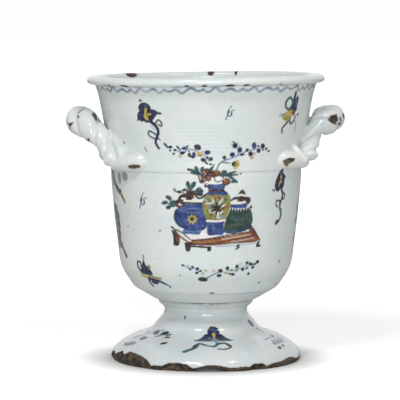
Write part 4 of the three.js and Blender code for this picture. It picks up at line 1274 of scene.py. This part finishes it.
def roll_end(places, radii):
    """The last stretch of a roll, from inside the rope to where it lies on the wall."""
    line = smooth(places, 1.2)
    ahead = unit(np.gradient(line, axis=0))
    side = unit(np.cross(ahead, [0.3, 0.1, 1]))
    girth = np.interp(np.linspace(0, 1, len(line)), np.linspace(0, 1, len(radii)), radii)
    return tube(line, side, np.cross(side, ahead), girth, girth)


def slip_patch(side):
    """The slip between a foot of the handle and the wall, level with the glaze at its edge."""
    rows = 40
    under = rows * rows
    across, height = np.meshgrid(np.linspace(*slip_across, rows) * side, np.linspace(*slip_height, rows))
    outer = [beside_wall(a, h, -bedding) for a, h in zip(across.ravel(), height.ravel())]
    inner = [beside_wall(a, h, -slip_depth) for a, h in zip(across.ravel(), height.ravel())]
    index = np.arange(under).reshape(rows, rows)
    skin = np.stack([index[:-1, :-1], index[:-1, 1:], index[1:, 1:], index[1:, :-1]], axis=-1).reshape(-1, 4)
    rim = np.concatenate([index[0], index[1:, -1], index[-1, -2::-1], index[-2:0:-1, 0]])
    edge = np.stack([rim, np.roll(rim, -1), np.roll(rim, -1) + under, rim + under], axis=-1)
    return np.array(outer + inner), np.vstack([skin, skin[:, ::-1] + under, edge[:, ::-1]]).tolist()


def fused(shells, grain):
    """Closed skins that overlap, joined into one with an even net of faces, in mm."""
    points = np.vstack([shell[0] for shell in shells])
    starts = np.cumsum([0] + [len(shell[0]) for shell in shells])
    faces = [[corner + start for corner in face] for shell, start in zip(shells, starts) for face in shell[1]]
    mesh = bpy.data.meshes.new("shells")
    mesh.from_pydata(points.tolist(), [], faces)
    made = bpy.data.objects.new("shells", mesh)
    bpy.context.scene.collection.objects.link(made)
    remesh = made.modifiers.new("one skin", "REMESH")
    remesh.mode = "VOXEL"
    remesh.voxel_size = grain
    whole = made.evaluated_get(bpy.context.evaluated_depsgraph_get()).to_mesh()
    corners = np.array([v.co for v in whole.vertices])
    quads = np.array([p.vertices for p in whole.polygons])
    bpy.data.objects.remove(made)
    bpy.data.meshes.remove(mesh)
    return corners, quads


def pressed_into_wall(points):
    """Squeezes what is pressed into the wall, so that none of it comes out inside the vase."""
    reach = np.hypot(points[:, 0], points[:, 1])
    bed = radius_at(outer_wall, points[:, 2]) - slip_depth
    squeezed = points.copy()
    squeezed[:, :2] *= np.maximum(1, (0.85 * bed + 0.15 * reach) / reach)[:, None]
    return squeezed


def gathered(index, vectors, count):
    """For each of a number of points, the sum of the vectors that carry its index."""
    return np.stack([np.bincount(index, vectors[:, k], count) for k in range(3)], axis=-1)


def softened(points, quads, even_rounds, hollow_rounds):
    """Evens a skin out, then fills its grooves and corners as the glaze does. Gives the points,
    their normals, and how much glaze ran into each place, in mm."""
    edges = np.vstack([quads[:, [k, (k + 1) % 4]] for k in range(4)])
    start, stop = np.concatenate([edges, edges[:, ::-1]]).T
    neighbours = np.bincount(start, minlength=len(points))[:, None]
    run_in = np.zeros(len(points))
    for step in range(even_rounds + hollow_rounds):
        pull = gathered(start, points[stop], len(points)) / neighbours - points
        if step >= even_rounds:
            corners = points[quads]
            facing = np.cross(corners[:, 2] - corners[:, 0], corners[:, 3] - corners[:, 1])
            normals = unit(sum(gathered(quads[:, c], facing, len(points)) for c in range(4)))
            lift = np.clip((pull * normals).sum(1), 0, None)
            run_in = run_in + 0.5 * lift
            pull = normals * lift[:, None]
        points = points + 0.5 * pull
    return points, normals, run_in


def handle(name, turned, rope, ends, chips, finish):
    """A whole handle, made on the right and, for the left, turned half way round. Each end is a
    line of places by the wall, (across, height, off the wall), with its thickness at each. Each
    chip is a depth and its corners as seen from the front: how far out and how high."""
    shells = [twisted_roll(stub_turns, *rope), twisted_roll(stub_turns + 0.5, *rope)]
    for side in (-1, 1):
        for places, radii in ends:
            line = [beside_wall(side * across, height, off) for across, height, off in places]
            shells.append(roll_end(line, radii))
        shells.append(slip_patch(side))
    points, quads = fused(shells, skin_grain)
    points = pressed_into_wall(points)
    points, normals, run_in = softened(points, quads, even_rounds=4, hollow_rounds=20)
    toward_front = -turned * points[:, 1]
    bare = np.full(len(points), far_outside)
    for depth, corners in chips:
        out, up = np.mean(corners, axis=0)
        column = np.hypot(points[:, 0] - out, points[:, 2] - up) < 1.5
        deep = inside(points[:, 0], points[:, 2], corners)
        deep = np.where(toward_front > toward_front[column].max() - chip_reach, deep, far_outside)
        bare = np.maximum(bare, deep)
        points = points - normals * (depth * np.clip(deep, 0, 1))[:, None]
    # Painted shade in the rope's grooves, where the glaze filled them, and dust with painted shade on the
    # crown's faces that turn up and away from the front.
    groove_shade = np.clip((run_in - groove_shade_onset) / 0.9, 0, 1) * 0.26
    away_and_up = 0.75 * normals[:, 2] + 0.65 * turned * normals[:, 1]
    high_up = np.clip((points[:, 2] - 190) / 8, 0, 1)
    dust_and_shade = np.clip((away_and_up - 0.45) / 0.4, 0, 1) * high_up * 0.42
    height = points[:, 2] + 0.010 * turned * points[:, 0]
    points = np.stack([turned * points[:, 0], turned * points[:, 1], height], axis=-1) * MM
    marks = {"bare": bare, "grime_and_shade": np.maximum(groove_shade, dust_and_shade), "paint": np.zeros((len(points), 4))}
    return new_piece(name, points, quads.tolist(), finish, marks)


# The height of the feet, the rise to the crown, the finger gap and how far it reaches, and the
# thickness of the rope from the crown to a foot; then the ends, and the chips seen in front.
right_rope = (171.0, 31.4, 7.3, 0.60, [1.0, 0.98, 0.76, 0.58, 0.64, 0.76])
left_rope = (168.0, 35.2, 5.6, 0.86, [1.07, 1.02, 0.84, 0.66, 0.62, 0.70])
tongue = (
    [(38.0, 168.5, 6.0), (43.0, 169.2, 4.2), (48.0, 170.3, 1.8), (52.5, 171.0, -1.6), (56.5, 171.6, -6.0)],
    [5.4, 6.6, 7.8, 8.0, 6.2],
)
right_band = (
    [(46.6, 182.6, -2.0), (46.6, 179.6, 2.2), (47.6, 175.0, 6.0), (47.4, 170.6, 9.4), (42.0, 167.0, 9.0)],
    [2.0, 2.4, 2.8, 3.0, 2.4],
)
left_tail = (
    [(46.0, 172.0, 4.0), (44.5, 179.0, 3.4), (39.0, 184.6, 2.6), (31.0, 189.4, 1.6), (20.0, 194.5, -0.2)],
    [4.6, 4.0, 2.6, 2.0, 1.4],
)
right_chips = [
    (0.9, [(108.6, 205.9), (103.8, 205.0), (100.2, 201.6), (103.4, 199.0), (107.2, 197.0), (110.0, 200.8)]),
    (0.6, [(111.0, 203.6), (112.4, 203.0), (113.4, 199.6), (112.0, 200.0)]),
    (0.6, [(114.0, 206.4), (116.4, 205.4), (117.0, 201.6), (115.0, 202.6)]),
    (0.6, [(110.8, 198.6), (113.2, 198.4), (113.0, 196.2), (111.0, 196.4)]),
    (1.0, [(58.0, 170.4), (60.9, 171.9), (64.2, 172.8), (69.2, 172.0), (67.6, 169.6), (63.8, 168.3),
           (61.7, 165.6), (59.8, 167.0)]),
]
left_chips = [
    (0.9, [(111.4, 213.0), (107.4, 216.0), (100.8, 214.4), (104.8, 211.8), (107.6, 209.6)]),
    (0.6, [(108.8, 207.8), (107.0, 207.8), (107.0, 206.2), (108.6, 206.2)]),
    (0.5, [(96.6, 208.6), (95.4, 210.6), (92.0, 208.0), (89.4, 204.4), (93.6, 203.6), (95.0, 206.2)]),
    (1.3, [(120.5, 201.4), (115.6, 201.0), (111.0, 202.6), (113.8, 199.2), (115.4, 195.6), (119.6, 195.4)]),
    (0.3, [(100.8, 188.6), (99.2, 189.4), (98.6, 186.6), (100.2, 186.0)]),
    (0.9, [(68.7, 168.2), (64.4, 169.3), (59.5, 168.8), (58.4, 167.0), (63.6, 165.6), (67.3, 166.0)]),
]
handle_warm = srgb(230, 233, 230)
handle_cool = srgb(219, 226, 225)
chipped_light = srgb(140, 122, 96)
chipped_dark = srgb(66, 56, 44)
handle_glaze = glazed_clay("handle tin glaze", handle_warm, handle_cool, chipped_light, chipped_dark)
right_handle = handle("right_handle", 1, right_rope, [tongue, right_band], right_chips, handle_glaze)
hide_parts("right_handle_stub_roll", "right_handle_tail_roll")
left_handle = handle("left_handle", -1, left_rope, [tongue, left_tail], left_chips, handle_glaze)
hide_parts("left_handle_stub_roll", "left_handle_tail_roll")
